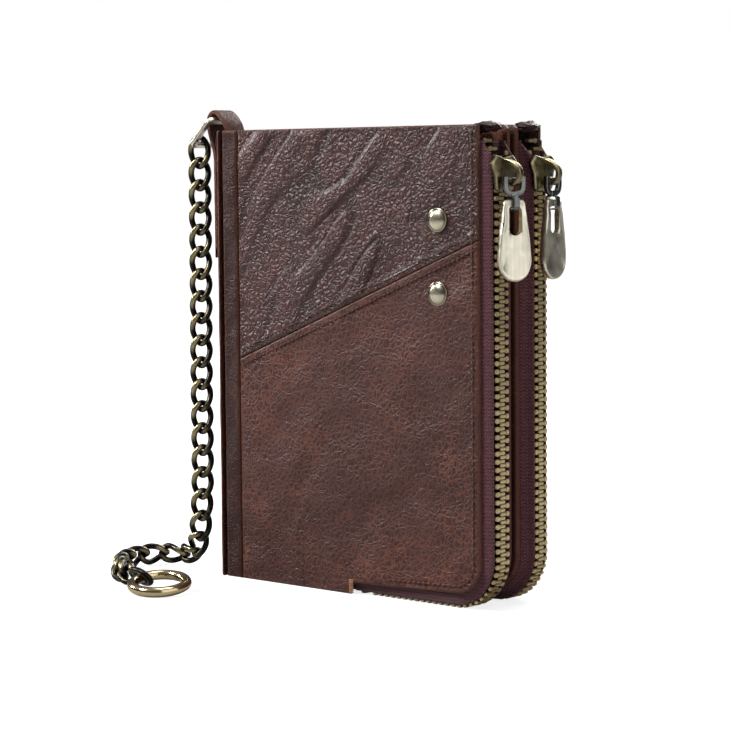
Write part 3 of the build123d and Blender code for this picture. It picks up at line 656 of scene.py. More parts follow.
class WALLET_PG_leather(bpy.types.PropertyGroup):
    colour: bpy.props.FloatVectorProperty(name="Leather", description="Colour of the waxed leather",
                                          default=(0.050, 0.0165, 0.0135), size=3, subtype="COLOR", min=0, max=1)
    worn_colour: bpy.props.FloatVectorProperty(name="Rubbed edges", description="Colour where the leather is rubbed",
                                               default=(0.165, 0.056, 0.031), size=3, subtype="COLOR", min=0, max=1)
    thread_colour: bpy.props.FloatVectorProperty(name="Thread", description="Colour of the stitches",
                                                 default=(0.105, 0.042, 0.028), size=3, subtype="COLOR", min=0, max=1)
    lining_colour: bpy.props.FloatVectorProperty(name="Lining", description="Colour of the lining cloth",
                                                 default=(0.040, 0.026, 0.024), size=3, subtype="COLOR", min=0, max=1)
    tape_colour: bpy.props.FloatVectorProperty(name="Zip tape", description="Colour of the zip tape",
                                               default=(0.105, 0.033, 0.041), size=3, subtype="COLOR", min=0, max=1)
    grain: bpy.props.FloatProperty(name="Grain", description="Size of the leather's pebbles, in millimetres",
                                   default=1.05, min=0.3, max=3.0)
    crinkle: bpy.props.FloatProperty(name="Crinkle", description="Depth of the crinkles in the yoke",
                                     default=0.00062, min=0.0, max=0.0010, unit="LENGTH", precision=5)
    stitch: bpy.props.FloatProperty(name="Stitch", description="Length from one stitch to the next",
                                    default=0.0017, min=0.001, max=0.004, unit="LENGTH", precision=4)
    thread: bpy.props.FloatProperty(name="Thread thickness", description="Thickness of the stitching thread",
                                    default=0.00042, min=0.0002, max=0.001, unit="LENGTH", precision=5)


class WALLET_PG_metal(bpy.types.PropertyGroup):
    brass: bpy.props.FloatVectorProperty(name="Brass", description="Rubbed colour of the antique brass",
                                         default=(0.47, 0.40, 0.22), size=3, subtype="COLOR", min=0, max=1)
    link_wire: bpy.props.FloatProperty(name="Link wire", description="Thickness of the chain's wire",
                                       default=0.0017, min=0.001, max=0.003, unit="LENGTH", precision=4)
    link_long: bpy.props.FloatProperty(name="Link length", description="Outside length of one link",
                                       default=0.0099, min=0.006, max=0.02, unit="LENGTH", precision=4)
    link_wide: bpy.props.FloatProperty(name="Link width", description="Outside width of one link",
                                       default=0.0066, min=0.004, max=0.015, unit="LENGTH", precision=4)


class WALLET_PG_stage(bpy.types.PropertyGroup):
    distance: bpy.props.FloatProperty(name="Camera distance", description="From the camera to the wallet",
                                      default=0.65, min=0.3, max=2.0, unit="LENGTH")
    azimuth: bpy.props.FloatProperty(name="Camera azimuth", description="Round from the front cover to the zips",
                                     default=math.radians(42.0), subtype="ANGLE")
    elevation: bpy.props.FloatProperty(name="Camera elevation", description="Height of the view",
                                       default=math.radians(4.6), subtype="ANGLE")
    light: bpy.props.FloatProperty(name="Light", description="Strength of the studio light", default=1.0,
                                   min=0.1, max=5.0)


def stitch_sizes():
    look = bpy.context.scene.wallet_leather
    return 1000 * look.stitch, 1000 * look.thread


# ---------------------------------------------------------------- operators

class WALLET_OT_stage(bpy.types.Operator):
    """Floor, soft light and camera"""
    bl_idname = "wallet.stage"
    bl_label = "Stage"

    def execute(self, context):
        scene = context.scene
        stage = scene.wallet_stage
        scene.view_settings.view_transform = "Standard"
        mesh = bpy.data.meshes.new("studio_floor")
        mesh.from_pydata([(-6, -6, 0), (6, -6, 0), (6, 6, 0), (-6, 6, 0)], [], [(0, 1, 2, 3)])
        floor = bpy.data.objects.new("studio_floor", mesh)
        scene.collection.objects.link(floor)
        n = Nodes("pale_paper")
        grain = n.cloud(9.0, 3.0)
        paper = n.blend(n.level(grain, 0.3, 0.7), rgba((0.34, 0.34, 0.34)), rgba((0.37, 0.37, 0.37)))
        reach = n.node("ShaderNodeVectorMath", {0: n.coords}, operation="LENGTH").outputs["Value"]
        glow = n.sums("MULTIPLY", n.node("ShaderNodeLightPath").outputs["Is Camera Ray"],
                      n.level(reach, 0.15, 0.9, 0.80, 1.05))
        n.tree.links.new(glow, n.shader.inputs["Emission Strength"])
        mesh.materials.append(n.finish(paper, 0.9, Specular_IOR_Level=0.1, Emission_Color=(1.0, 1.0, 1.0, 1.0)))
        world = bpy.data.worlds.new("studio_world")
        scene.world = world
        world.use_nodes = True
        tree = world.node_tree
        back = tree.nodes["Background"]
        coord = tree.nodes.new("ShaderNodeTexCoord")
        split = tree.nodes.new("ShaderNodeSeparateXYZ")
        ramp = tree.nodes.new("ShaderNodeValToRGB")
        tree.links.new(coord.outputs["Generated"], split.inputs[0])
        tree.links.new(split.outputs["Z"], ramp.inputs[0])
        tree.links.new(ramp.outputs[0], back.inputs[0])
        for spot, grey in ((0.0, 0.10), (0.12, 0.05), (0.45, 0.09), (0.9, 0.30)):
            step = ramp.color_ramp.elements.new(spot)
            step.color = (grey, grey, 1.04 * grey, 1)
        ramp.color_ramp.elements.remove(ramp.color_ramp.elements[0])
        ramp.color_ramp.elements.remove(ramp.color_ramp.elements[-1])
        back.inputs["Strength"].default_value = 1.0
        paper = tree.nodes.new("ShaderNodeBackground")
        paper.inputs[0].default_value = (1.0, 1.0, 1.0, 1)
        mixer = tree.nodes.new("ShaderNodeMixShader")
        seen = tree.nodes.new("ShaderNodeLightPath")
        tree.links.new(seen.outputs["Is Camera Ray"], mixer.inputs[0])
        tree.links.new(back.outputs[0], mixer.inputs[1])
        tree.links.new(paper.outputs[0], mixer.inputs[2])
        tree.links.new(mixer.outputs[0], tree.nodes["World Output"].inputs[0])
        for name, spot, size, power in (
            ("key_softbox", (-0.38, -0.62, 0.72), 0.20, 9.0), ("sheen_softbox", (-0.85, -0.32, 0.42), 0.20, 4.0),
            ("top_softbox", (0.05, 0.15, 0.95), 0.50, 5.0), ("zip_softbox", (0.95, -0.12, 0.24), 1.10, 5.4),
            ("rear_softbox", (-0.25, 0.85, 0.45), 0.45, 6.0),
        ):
            lamp = bpy.data.lights.new(name, "AREA")
            lamp.shape = "RECTANGLE"
            lamp.size = size
            lamp.size_y = size * 1.3
            lamp.energy = power * stage.light
            obj = bpy.data.objects.new(name, lamp)
            obj.location = spot
            obj.rotation_euler = (Vector((0, 0, 0.06)) - Vector(spot)).to_track_quat("-Z", "Y").to_euler()
            scene.collection.objects.link(obj)
        a, e = stage.azimuth, stage.elevation
        away = Vector((math.sin(a) * math.cos(e), -math.cos(a) * math.cos(e), math.sin(e)))
        right = Vector((math.cos(a), math.sin(a), 0))
        up = away.cross(right)
        aim = Vector((-0.0006, 0, 0.062)) - 0.0042 * right - 0.001 * up
        cam = bpy.data.cameras.new("camera")
        cam.lens = 118.2 * stage.distance / 0.65
        cam.sensor_width = 36.0
        cam.clip_start = 0.01
        cam.dof.use_dof = False
        obj = bpy.data.objects.new("camera", cam)
        basis = Matrix((right, up, away)).transposed() @ Matrix.Rotation(math.radians(-0.5), 3, "Z")
        obj.matrix_world = Matrix.Translation(aim + away * stage.distance) @ basis.to_4x4()
        scene.collection.objects.link(obj)
        scene.camera = obj
        return {"FINISHED"}


def chain_points():
    """Points along the chain's own NURBS line, in metres."""
    data = bpy.data.curves.new("chain_line", "CURVE")
    data.dimensions = "3D"
    data.resolution_u = 24
    spline = data.splines.new("NURBS")
    spline.points.add(len(ROUTE) - 1)
    for point, spot in zip(spline.points, place(ROUTE)):
        point.co = (*spot, 1.0)
    spline.order_u = 3
    spline.use_endpoint_u = True
    obj = bpy.data.objects.new("chain_line", data)
    bpy.context.scene.collection.objects.link(obj)
    bpy.context.view_layer.update()
    mesh = bpy.data.meshes.new_from_object(obj)
    line = np.array([tuple(v.co) for v in mesh.vertices])
    bpy.data.objects.remove(obj)
    bpy.data.meshes.remove(mesh)
    return line


class WALLET_OT_chain(bpy.types.Operator):
    """Curb chain from the ring to the end ring"""
    bl_idname = "wallet.chain"
    bl_label = "Chain"

    def execute(self, context):
        metals = context.scene.wallet_metal
        wire, long, wide = (1000 * s for s in (metals.link_wire, metals.link_long, metals.link_wide))
        line = chain_points()
        mm = line * 1000 + MIDDLE
        s = np.concatenate([[0], np.cumsum(np.linalg.norm(np.diff(mm, axis=0), axis=1))])
        pitch = long - 2 * wire - 0.2
        count = max(2, round(s[-1] / pitch))
        heap = Heap()
        across = unit((math.cos(math.radians(42)), math.sin(math.radians(42)), 0))
        half_w, half_l = (wide - wire) / 2, (long - wire) / 2
        for k in range(count + 1):
            at = s[-1] * k / count
            p = np.array([np.interp(at, s, mm[:, i]) for i in range(3)])
            q = np.array([np.interp(min(at + 1.5, s[-1]), s, mm[:, i]) for i in range(3)])
            q0 = np.array([np.interp(max(at - 1.5, 0), s, mm[:, i]) for i in range(3)])
            t = unit(q - q0)
            across = unit(across - t * across.dot(t))
            other = np.cross(t, across)
            on_floor = p[2] < 9.0
            roll = math.radians(28.0 if on_floor else 4.0)
            if k == count:
                roll = math.radians(80.0)
            a = across * math.cos(roll) + other * math.sin(roll)
            b = np.cross(t, a)
            path = []
            for j in range(36):
                u = 2 * math.pi * j / 36
                h = half_l * math.cos(u)
                w = half_w * math.copysign(abs(math.sin(u)) ** 0.85, math.sin(u))
                twist = math.radians(46.0) * h / half_l
                if k == count:
                    twist = 0.0
                path.append(p + t * h + w * (math.cos(twist) * a + math.sin(twist) * b))
            points, faces = sweep(path, oval(wire / 2, wire / 2, 12), b, closed=True)
            flat = (points - p).dot(b)
            side = (points - p).dot(a)
            # Pale where the links' flat faces are rubbed, and also pale on one side of each link and dark on the other:
            # a painted highlight and painted shade. Dark patina elsewhere.
            rubbed = np.clip((np.abs(flat) / wire - 0.25) / 0.6, 0, 1) * np.clip(0.75 - 0.55 * side / half_w, 0, 1)
            dark = 1.0 - 0.95 * rubbed
            heap.add(points, faces, 0.0, np.clip(dark, 0, 1))
        chain = heap.piece("curb_chain", "spine", "antique_brass", finish_of("antique"),
                           ("chain_hanging", "chain_on_floor"), 60.0)
        ring = Heap()
        low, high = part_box("end_ring")
        hub = (np.array(low) + np.array(high)) / 2 * 1000 + MIDDLE
        along = unit(np.array(ROUTE[-1]) - np.array(ROUTE[-2]))
        aside = np.array((-along[1], along[0], 0.0))
        tilt = math.tan(math.radians(6.5))
        path = []
        for j in range(96):
            u = 2 * math.pi * j / 96
            x, y = 7.35 * math.cos(u), 7.35 * math.sin(u)
            path.append(hub + along * x + aside * y + np.array((0, 0, tilt * (y - x))) * 0.98)
        points, faces = sweep(path, oval(1.4, 1.4, 20), (0, 0, 1), closed=True)
        ring.add(points, faces)
        end = ring.piece("end_ring_polished", "end_ring", "polished_brass", finish_of("polished"), ("end_ring",))
        return {"FINISHED"}


class WALLET_OT_spine(bpy.types.Operator):
    """Spine leather, its cloth, the strap for the chain and the strap's ring"""
    bl_idname = "wallet.spine"
    bl_label = "Spine and chain strap"

    def execute(self, context):
        pitch, thick = stitch_sizes()
        heap = Heap()
        turns = []
        for k in range(9):
            t = math.radians(90 - 180 * k / 8)
            turns.append((2.2 - 1.2 * math.cos(t) * (1 if k < 9 else 0), 0))
        profile = []
        for k in range(9):
            t = math.radians(-20 + 110 * k / 8)
            profile.append((2.2 + 1.2 * math.cos(math.radians(270 - 22.5 * k)), -12.4 + 1.2 * math.sin(
                math.radians(270 - 22.5 * k))))
        bulge = [(1.0 - 0.95 * math.cos(math.pi * y / 24.8), y) for y in np.linspace(-11.6, 11.6, 24)]
        mirror = [(x, -y) for x, y in profile[::-1]]
        inner = [(1.9 - 0.5 * math.cos(math.pi * y / 24.8), y) for y in np.linspace(11.3, -11.3, 12)]
        start = [(3.4 * 1.0, -12.4)]
        section = profile + bulge + mirror + inner
        relief = soft_relief(0.30, 6.0)
        rows = np.concatenate([[0, 0.15, 0.5], np.linspace(1.2, TALL - 1.2, 110), [TALL - 0.5, TALL - 0.15, TALL]])
        points, wear, dark = [], [], []
        for z in rows:
            pull = 0.25 * max(0.0, 1.0 - min(z, TALL - z) / 0.6)
            for x, y in section:
                bump, hollow = relief(y * 1.3, z)
                share = 0.5 if x < 1.6 else 0.0
                points.append((x + pull - share * bump, y * (1 - 0.01 * pull), z))
                wear.append(1.0 if min(z, TALL - z) < 0.3 else 0.15)
                # Painted shade in the spine's creases.
                dark.append(hollow)
        m = len(section)
        faces = [(i * m + j, i * m + (j + 1) % m, (i + 1) * m + (j + 1) % m, (i + 1) * m + j)
                 for i in range(len(rows) - 1) for j in range(m)]
        faces += [tuple(range(m)), tuple(range((len(rows) - 1) * m, len(rows) * m))]
        heap.add(points, faces, wear, dark)
        heap.piece("spine_leather", "spine", "cover_leather", finish_of("smooth"), ("spine_strip",), 50.0)
        cloth_heap = Heap()
        cloth_heap.add(*self.upright(2.3, 2.8, 7.7, 1.0, TALL - 15.0))
        cloth_heap.piece("spine_cloth", "spine", "lining_cloth", finish_of("lining"), ("spine_lining",))
        self.strap(pitch, thick)
        self.ring()
        return {"FINISHED"}

    def upright(self, x0, x1, half, low, high):
        section = soft_box((x1 - x0) / 2, half, 0.2)
        rows = np.linspace(low, high, 60)
        path = [((x0 + x1) / 2, 0.05 * math.sin(z * 0.3), z) for z in rows]
        return sweep(path, section, (1, 0, 0))

    def strap(self, pitch, thick):
        over = RING_TOP[1] + 2.4
        y = -8.4
        line = curve_through([
            (-0.72, y, TALL - 37.0), (-0.75, y, TALL - 25.0), (-0.8, y, TALL - 12.0), (-1.0, y, TALL - 6.5),
            (-2.5, y, TALL - 2.0), (-3.4, y, TALL + 1.3), (-3.1, y, TALL + 4.0), (-1.2, y, over),
            (1.2, y, TALL + 3.8), (3.2, y, TALL + 1.2), (4.1, y, TALL - 3.0), (4.15, y, TALL - 13.0),
        ], 0.6)
        widths = [1.0] * len(line)
        heap = Heap()
        section = soft_box(3.5, 0.58, 0.3, 4)
        points, faces = sweep(line, section, (0, 1, 0), widths=widths)
        edge = np.clip((np.abs(points[:, 1] - y) - 2.9) / 0.5, 0, 1)
        low_end = points[:, 2] < TALL - 35.0
        across = (points[:, 1] - y) / 3.5
        points[low_end, 2] += 2.6 * (1 - np.sqrt(np.clip(1 - across[low_end] ** 2, 0, 1)))
        heap.add(points, faces, edge)
        heap.piece("chain_strap", "spine", "edge_leather", finish_of("edge"), ("chain_loop",))
        sewn = Heap()
        for off in (-2.4, 2.4):
            row = [(-1.30, y + off, z) for z in np.linspace(TALL - 33.5, TALL - 8.0, 20)]
            stitches(sewn, row, (-1, 0, 0), pitch, thick)
        foot = [(-1.30, y + 2.4 * math.cos(t), TALL - 33.6 - 1.4 * math.sin(t)) for t in np.linspace(0, math.pi, 12)]
        stitches(sewn, foot, (-1, 0, 0), pitch, thick)
        bar = [(-1.30, y + o, TALL - 8.0) for o in np.linspace(-2.4, 2.4, 8)]
        stitches(sewn, bar, (-1, 0, 0), pitch, thick)
        sewn.piece("strap_stitches", "spine", "edge_leather", finish_of("thread"))

    def ring(self):
        heap = Heap()
        middle = np.array(((RING_TOP[0] + RING_LOW[0]) / 2, -8.4, (RING_TOP[1] + RING_LOW[1]) / 2))
        down = unit((-1, 0, -1))
        corners = [(4.65, 5.25), (-4.65, 5.25), (-4.65, -5.25), (4.65, -5.25)]
        loop = outline([(a, b, 1.1) for a, b in corners], 120)
        path = [middle + down * a + np.array((0, b, 0)) for a, b in loop]
        points, faces = sweep(path, soft_box(0.62, 0.92, 0.28, 4), (1, 0, -1), closed=True)
        offs = points - middle
        # A painted shade line along the middle of each flat face of the ring's bar.
        reach = np.maximum(np.abs(offs.dot(down)) - 4.65, np.abs(offs[:, 1]) - 5.25)
        heap.add(points, faces, 0.0, np.clip(0.55 - 0.8 * np.abs(reach), 0.0, 0.5))
        heap.piece("strap_ring", "spine", "brushed_brass", finish_of("brushed"), ("d_ring",))


class WALLET_OT_covers(bpy.types.Operator):
    """Yoke, field, rear cover and the edges beside the spine"""
    bl_idname = "wallet.covers"
    bl_label = "Covers"

    def execute(self, context):
        depth = 1000 * context.scene.wallet_leather.crinkle
        step = 0.5
        yoke = Heap()
        leather_panel(yoke, PANEL_LEFT, PANEL_RIGHT, lambda x: seam(x) + 0.1, top_edge, FACE, BACK, -1, step,
                      lapped(crinkles(depth), 0.35), 0.5)
        yoke.piece("front_yoke", "front_cover", "cover_leather", finish_of("crinkled"), ("front_upper_panel",))
        field = Heap()
        leather_panel(field, PANEL_LEFT, PANEL_RIGHT, cover_bottom, seam, FACE, BACK, -1, step,
                      lapped(field_relief(depth * 0.62), 0.0), 0.5, (NOTCH,), (PANEL_RIGHT, 8.0))
        field.piece("front_field", "front_cover", "cover_leather", finish_of("smooth"), ("front_lower_panel",))
        rear = Heap()
        leather_panel(rear, PANEL_LEFT, PANEL_RIGHT, cover_bottom, top_edge, FACE, BACK, 1, step,
                      crinkles(depth * 0.62), 0.5, (NOTCH,), (PANEL_RIGHT, 8.0))
        rear.piece("rear_cover_leather", "rear_cover", "cover_leather", finish_of("crinkled"), ("rear_panel",))
        for side, name in SIDES:
            edge = Heap()
            leather_panel(edge, 3.5, 9.2, lambda x: 0.0, top_edge, 13.6, BACK, side, 0.8,
                          self.edge_relief(depth), 0.75)
            edge.piece(name + "_spine_edge", name + "_cover", "cover_leather", finish_of("dark"),
                       (name + "_edge_strip",))
        self.sew()
        return {"FINISHED"}

    def edge_relief(self, depth):
        base = field_relief(depth * 0.8)

        def relief(x, z):
            height, dark = base(x * 1.5, z)
            rim = math.exp(-((x - 8.5) / 0.5) ** 2)
            # The second value is painted shade in the creases.
            return height + 0.18 * rim, dark * 0.8
        return relief

    def sew(self):
        pitch, thick = stitch_sizes()
        y = -FACE - 0.12
        sewn = Heap()
        for off in (-2.15, 2.15):
            row = [(x, y - (0.24 if off > 0 else 0.0), seam(x) + off) for x in np.linspace(10.2, 94.2, 60)]
            stitches(sewn, row, (0, -1, 0), pitch, thick, 0.12)
        side_row = [(93.2, y, z) for z in np.linspace(TALL - 1.5, 12.4, 50)]
        turn = [(87.0 + 6.2 * math.cos(t), y, 12.4 - 6.2 * math.sin(t)) for t in np.linspace(0.05, math.pi / 2, 14)]
        base = [(x, y, cover_bottom(x) + 1.9) for x in np.linspace(86.0, 51.6, 24)]
        stitches(sewn, side_row + turn + base, (0, -1, 0), pitch, thick, 0.12)
        sewn.piece("front_cover_stitches", "front_cover", "cover_leather", finish_of("thread"))
        tack = Heap()
        for k in range(9):
            z = 0.5 + 0.42 * k
            stitches(tack, [(49.9, y, z), (51.5, y, z + 0.12)], (0, -1, 0), 2.0, 0.30)
        for k in range(3):
            stitches(tack, [(50.3 + 0.5 * k, y - 0.05, 0.4), (50.3 + 0.5 * k, y - 0.05, 4.2)], (0, -1, 0), 1.3, 0.26)
        tack.piece("front_bar_tack", "front_cover", "cover_leather", finish_of("tack"))
        y = FACE + 0.12
        rear = Heap()
        side_row = [(93.2, y, z) for z in np.linspace(TALL - 1.5, 12.4, 50)]
        turn = [(87.0 + 6.2 * math.cos(t), y, 12.4 - 6.2 * math.sin(t)) for t in np.linspace(0.05, math.pi / 2, 14)]
        base = [(x, y, cover_bottom(x) + 1.9) for x in np.linspace(86.0, 51.6, 24)]
        stitches(rear, side_row + turn + base, (0, 1, 0), pitch, thick, 0.12)
        stitches(rear, [(11.3, y, z) for z in np.linspace(1.5, TALL - 1.5, 50)], (0, 1, 0), pitch, thick, 0.12)
        rear.piece("rear_cover_stitches", "rear_cover", "cover_leather", finish_of("thread"))


class WALLET_OT_linings(bpy.types.Operator):
    """Cloth inside the pockets and the leather folds that close their tops"""
    bl_idname = "wallet.linings"
    bl_label = "Linings and top folds"

    def execute(self, context):
        for side, name in SIDES:
            lining = Heap()
            low = lambda x: 0.6 if x < 47.0 else 8.7
            leather_panel(lining, 5.2, 92.6, low, lambda x: TALL - 1.0, 12.0, 11.5, side, 2.0,
                          soft_relief(0.05), 0.1, (47.0,), edge_wear=0.0)
            lining.piece(name + "_lining", name + "_cover", "lining_cloth", finish_of("lining"),
                         (name + "_cover_lining",))
            back = Heap()
            low = lambda x: 0.0 if x < 47.0 else 9.5
            leather_panel(back, 5.2, 89.4, low, top_edge, 7.0, 6.5, side, 2.0, soft_relief(0.05), 0.1, (47.0,),
                          edge_wear=0.0)
            back.piece(name + "_pocket_cloth", name + "_leaf", "lining_cloth", finish_of("lining"),
                       (name + "_pocket_back",))
            self.top_fold(side, name)
        return {"FINISHED"}

    def top_fold(self, side, name):
        """A soft roll of leather along the pocket's top, puckered where the zip's ends are tucked in."""
        heap = Heap()
        line, widths = [], []
        for x in np.linspace(5.3, 97.0, 150):
            share = min(1.0, max(0.0, (x - 90.0) / 4.0))
            line.append((x, side * (9.2 - 1.6 * share), TALL - 1.75 - 0.25 * math.sin(x * 0.2) + 1.3 * share))
            widths.append((2.0 + 2.0 * share) / 2.0)
        path = np.array(line)
        section = oval(1.0, 1.0, 20)
        points, hollow = [], []
        for (x, y, z), wide in zip(path, widths):
            end = max(0.0, min(1.0, (97.3 - x) / 2.2))
            girth = math.sqrt(end) if end < 1 else 1.0
            pucker = max(0.0, (x - 86.0) / 11.0)
            for u, v in section:
                wrinkle = 0.6 * pucker * noise.noise(Vector((x * 1.3, u * 2.2, v * 2.0 + side)))
                fold = 0.07 * math.sin(x * 2.3 + 3 * v) * (1 - pucker)
                points.append((x, y + u * wide * 2.0 * girth * (1 + wrinkle), z + v * (1.35 + fold + wrinkle) * girth))
                # Painted shade in the puckers' wrinkles, darker where they dent inward.
                hollow.append(min(1.0, max(0.0, -wrinkle * 3)))
        m, n = len(section), len(path)
        faces = [(i * m + j, i * m + (j + 1) % m, (i + 1) * m + (j + 1) % m, (i + 1) * m + j)
                 for i in range(n - 1) for j in range(m)]
        faces += [tuple(range(m)), tuple(range((n - 1) * m, n * m))]
        heap.add(points, faces, 0.05, hollow)
        heap.piece(name + "_top_fold", name + "_leaf", "cover_leather", finish_of("dark"), (name + "_top_gusset",))


class WALLET_OT_leaves(bpy.types.Operator):
    """Inner leather, edging, card pockets and the clear window"""
    bl_idname = "wallet.leaves"
    bl_label = "Inner leaves"

    def execute(self, context):
        pitch, thick = stitch_sizes()
        for side, name in SIDES:
            panel = Heap()
            low = lambda x: 0.0 if x < 47.0 else 9.5
            leather_panel(panel, 5.2, 89.4, low, top_edge, -4.3, -5.5, -side, 1.4, soft_relief(0.08), 0.15, (47.0,))
            panel.piece(name + "_inner_leather", name + "_leaf", "cover_leather", finish_of("inner"),
                        (name + "_inner_panel",))
            edging = Heap()
            outer = outline([(5.2, 0, 0), (50, 0, 0.6), (50, 2.9, 0.6), (96, 2.9, 10.6), (96, TALL, 1.0),
                             (5.2, TALL, 0)], 260)
            inner = outline([(8.2, 8.4, 0), (50, 8.4, 0), (50.5, 8.4, 0), (90.5, 8.4, 5), (90.5, TALL - 4, 0.5),
                             (8.2, TALL - 4, 0)], 260)
            inner = self.follow(outer, inner)
            frame_panel(edging, outer, inner, -0.8, -2.3, -side, 0.35)
            edging.piece(name + "_edging", name + "_leaf", "edge_leather", finish_of("edge"), (name + "_binding",))
            sewn = Heap()
            y = side * 0.78
            row = [(92.4, y, z) for z in np.linspace(TALL - 3, 14, 40)]
            row += [(x, y, 6.6) for x in np.linspace(84, 10, 30)]
            stitches(sewn, row, (0, -side, 0), pitch, thick)
            sewn.piece(name + "_edging_stitches", name + "_leaf", "edge_leather", finish_of("thread"))
        self.cards(pitch, thick)
        self.window(pitch, thick)
        return {"FINISHED"}

    def follow(self, outer, inner):
        """Match each outer point with the nearest way along the inner loop."""
        out = []
        for x, z in outer:
            gap = (inner[:, 0] - min(max(x, 8.2), 90.5)) ** 2 + (inner[:, 1] - min(max(z, 8.4), TALL - 4)) ** 2
            out.append(inner[int(np.argmin(gap))])
        return np.array(out)

    def cards(self, pitch, thick):
        heap, sewn = Heap(), Heap()
        for k in range(3):
            outer = 4.3 - 0.8 * k - 0.75
            high = TALL - 29.0 - 15.0 * k
            leather_panel(heap, 9.2, 89.5, lambda x: 12.0, lambda x: high - 0.5 * math.exp(-((x - 49) / 14) ** 2),
                          -outer, -(outer + 0.75), 1, 1.4, soft_relief(0.05), 0.25)
            row = [(x, -outer + 0.05, high - 2.0 - 0.5 * math.exp(-((x - 49) / 14) ** 2))
                   for x in np.linspace(10, 89, 50)]
            stitches(sewn, row, (0, 1, 0), pitch, thick * 0.8)
        heap.piece("front_card_pockets", "front_leaf", "cover_leather", finish_of("inner"), ("front_card_slots",))
        for x in (10.2, 88.5):
            stitches(sewn, [(x, -1.90, z) for z in np.linspace(13, TALL - 60, 20)], (0, 1, 0), pitch, thick * 0.8)
        sewn.piece("front_card_stitches", "front_leaf", "cover_leather", finish_of("thread"))

    def window(self, pitch, thick):
        heap, sewn, film = Heap(), Heap(), Heap()
        outer = outline([(21.2, 22, 2), (78.5, 22, 2), (78.5, 100, 2), (21.2, 100, 2)], 200)
        inner = outline([(27.2, 28, 2), (72.5, 28, 2), (72.5, 94, 2), (27.2, 94, 2)], 200)
        frame_panel(heap, outer, inner, -3.5, -4.28, -1, 0.25)
        heap.piece("rear_window_frame", "rear_leaf", "cover_leather", finish_of("inner"), ("rear_id_frame",))
        middle = (outer * 0.7 + inner * 0.3)
        row = [(x, 3.50, z) for x, z in np.vstack([middle, middle[:1]])]
        stitches(sewn, row, (0, -1, 0), pitch, thick * 0.8)
        sewn.piece("rear_window_stitches", "rear_leaf", "cover_leather", finish_of("thread"))
        leather_panel(film, 27.3, 72.4, lambda x: 28.1, lambda x: 93.9, -3.75, -4.1, -1, 2.0, soft_relief(0.12, 20.0),
                      0.05, edge_wear=0.0)
        film.piece("rear_window_film", "rear_leaf", "clear_window", finish_of("film"), ("rear_id_pane",))


def crest(s):
    """Point and turn of the zip's crest at a length below the split."""
    straight, turn = SPLIT - ZIP_TURN, ZIP_TURN * math.pi / 2
    if s < straight:
        return CREST, SPLIT - s, 0.0
    if s < straight + turn:
        a = (s - straight) / ZIP_TURN
        return CREST - ZIP_TURN * (1 - math.cos(a)), ZIP_TURN * (1 - math.sin(a)), a
    return CREST - ZIP_TURN - (s - straight - turn), 0.0, math.pi / 2


def parting(z):
    """How far the rows have parted and tucked in, each 0 to 1, at a height."""
    return max(0.0, (z - SPLIT) / (ROWS_TOP - SPLIT)), max(0.0, (z - TUCK) / (ROWS_TOP - TUCK))


def tooth_shape(with_head):
    """A stamped tooth: a jaw clamped on the bead and a narrower head, all edges eased."""
    bm = bmesh.new()

    def bar(x0, x1, y0, y1, z0, z1):
        made = bmesh.ops.create_cube(bm, size=1.0)["verts"]
        for v in made:
            v.co = Vector((x0 + (v.co.x + 0.5) * (x1 - x0), y0 + (v.co.y + 0.5) * (y1 - y0),
                           z0 + (v.co.z + 0.5) * (z1 - z0)))
    bar(-TOOTH_DEPTH, 0.0, 1.2, 2.6, -0.62, 0.62)
    if with_head:
        bar(-TOOTH_DEPTH + 0.1, -0.05, -1.0, 1.35, -0.42, 0.42)
    bmesh.ops.bevel(bm, geom=bm.edges[:], offset=0.2, segments=2, affect="EDGES")
    points = np.array([tuple(v.co) for v in bm.verts])
    faces = [tuple(v.index for v in f.verts) for f in bm.faces]
    bm.free()
    return points, faces


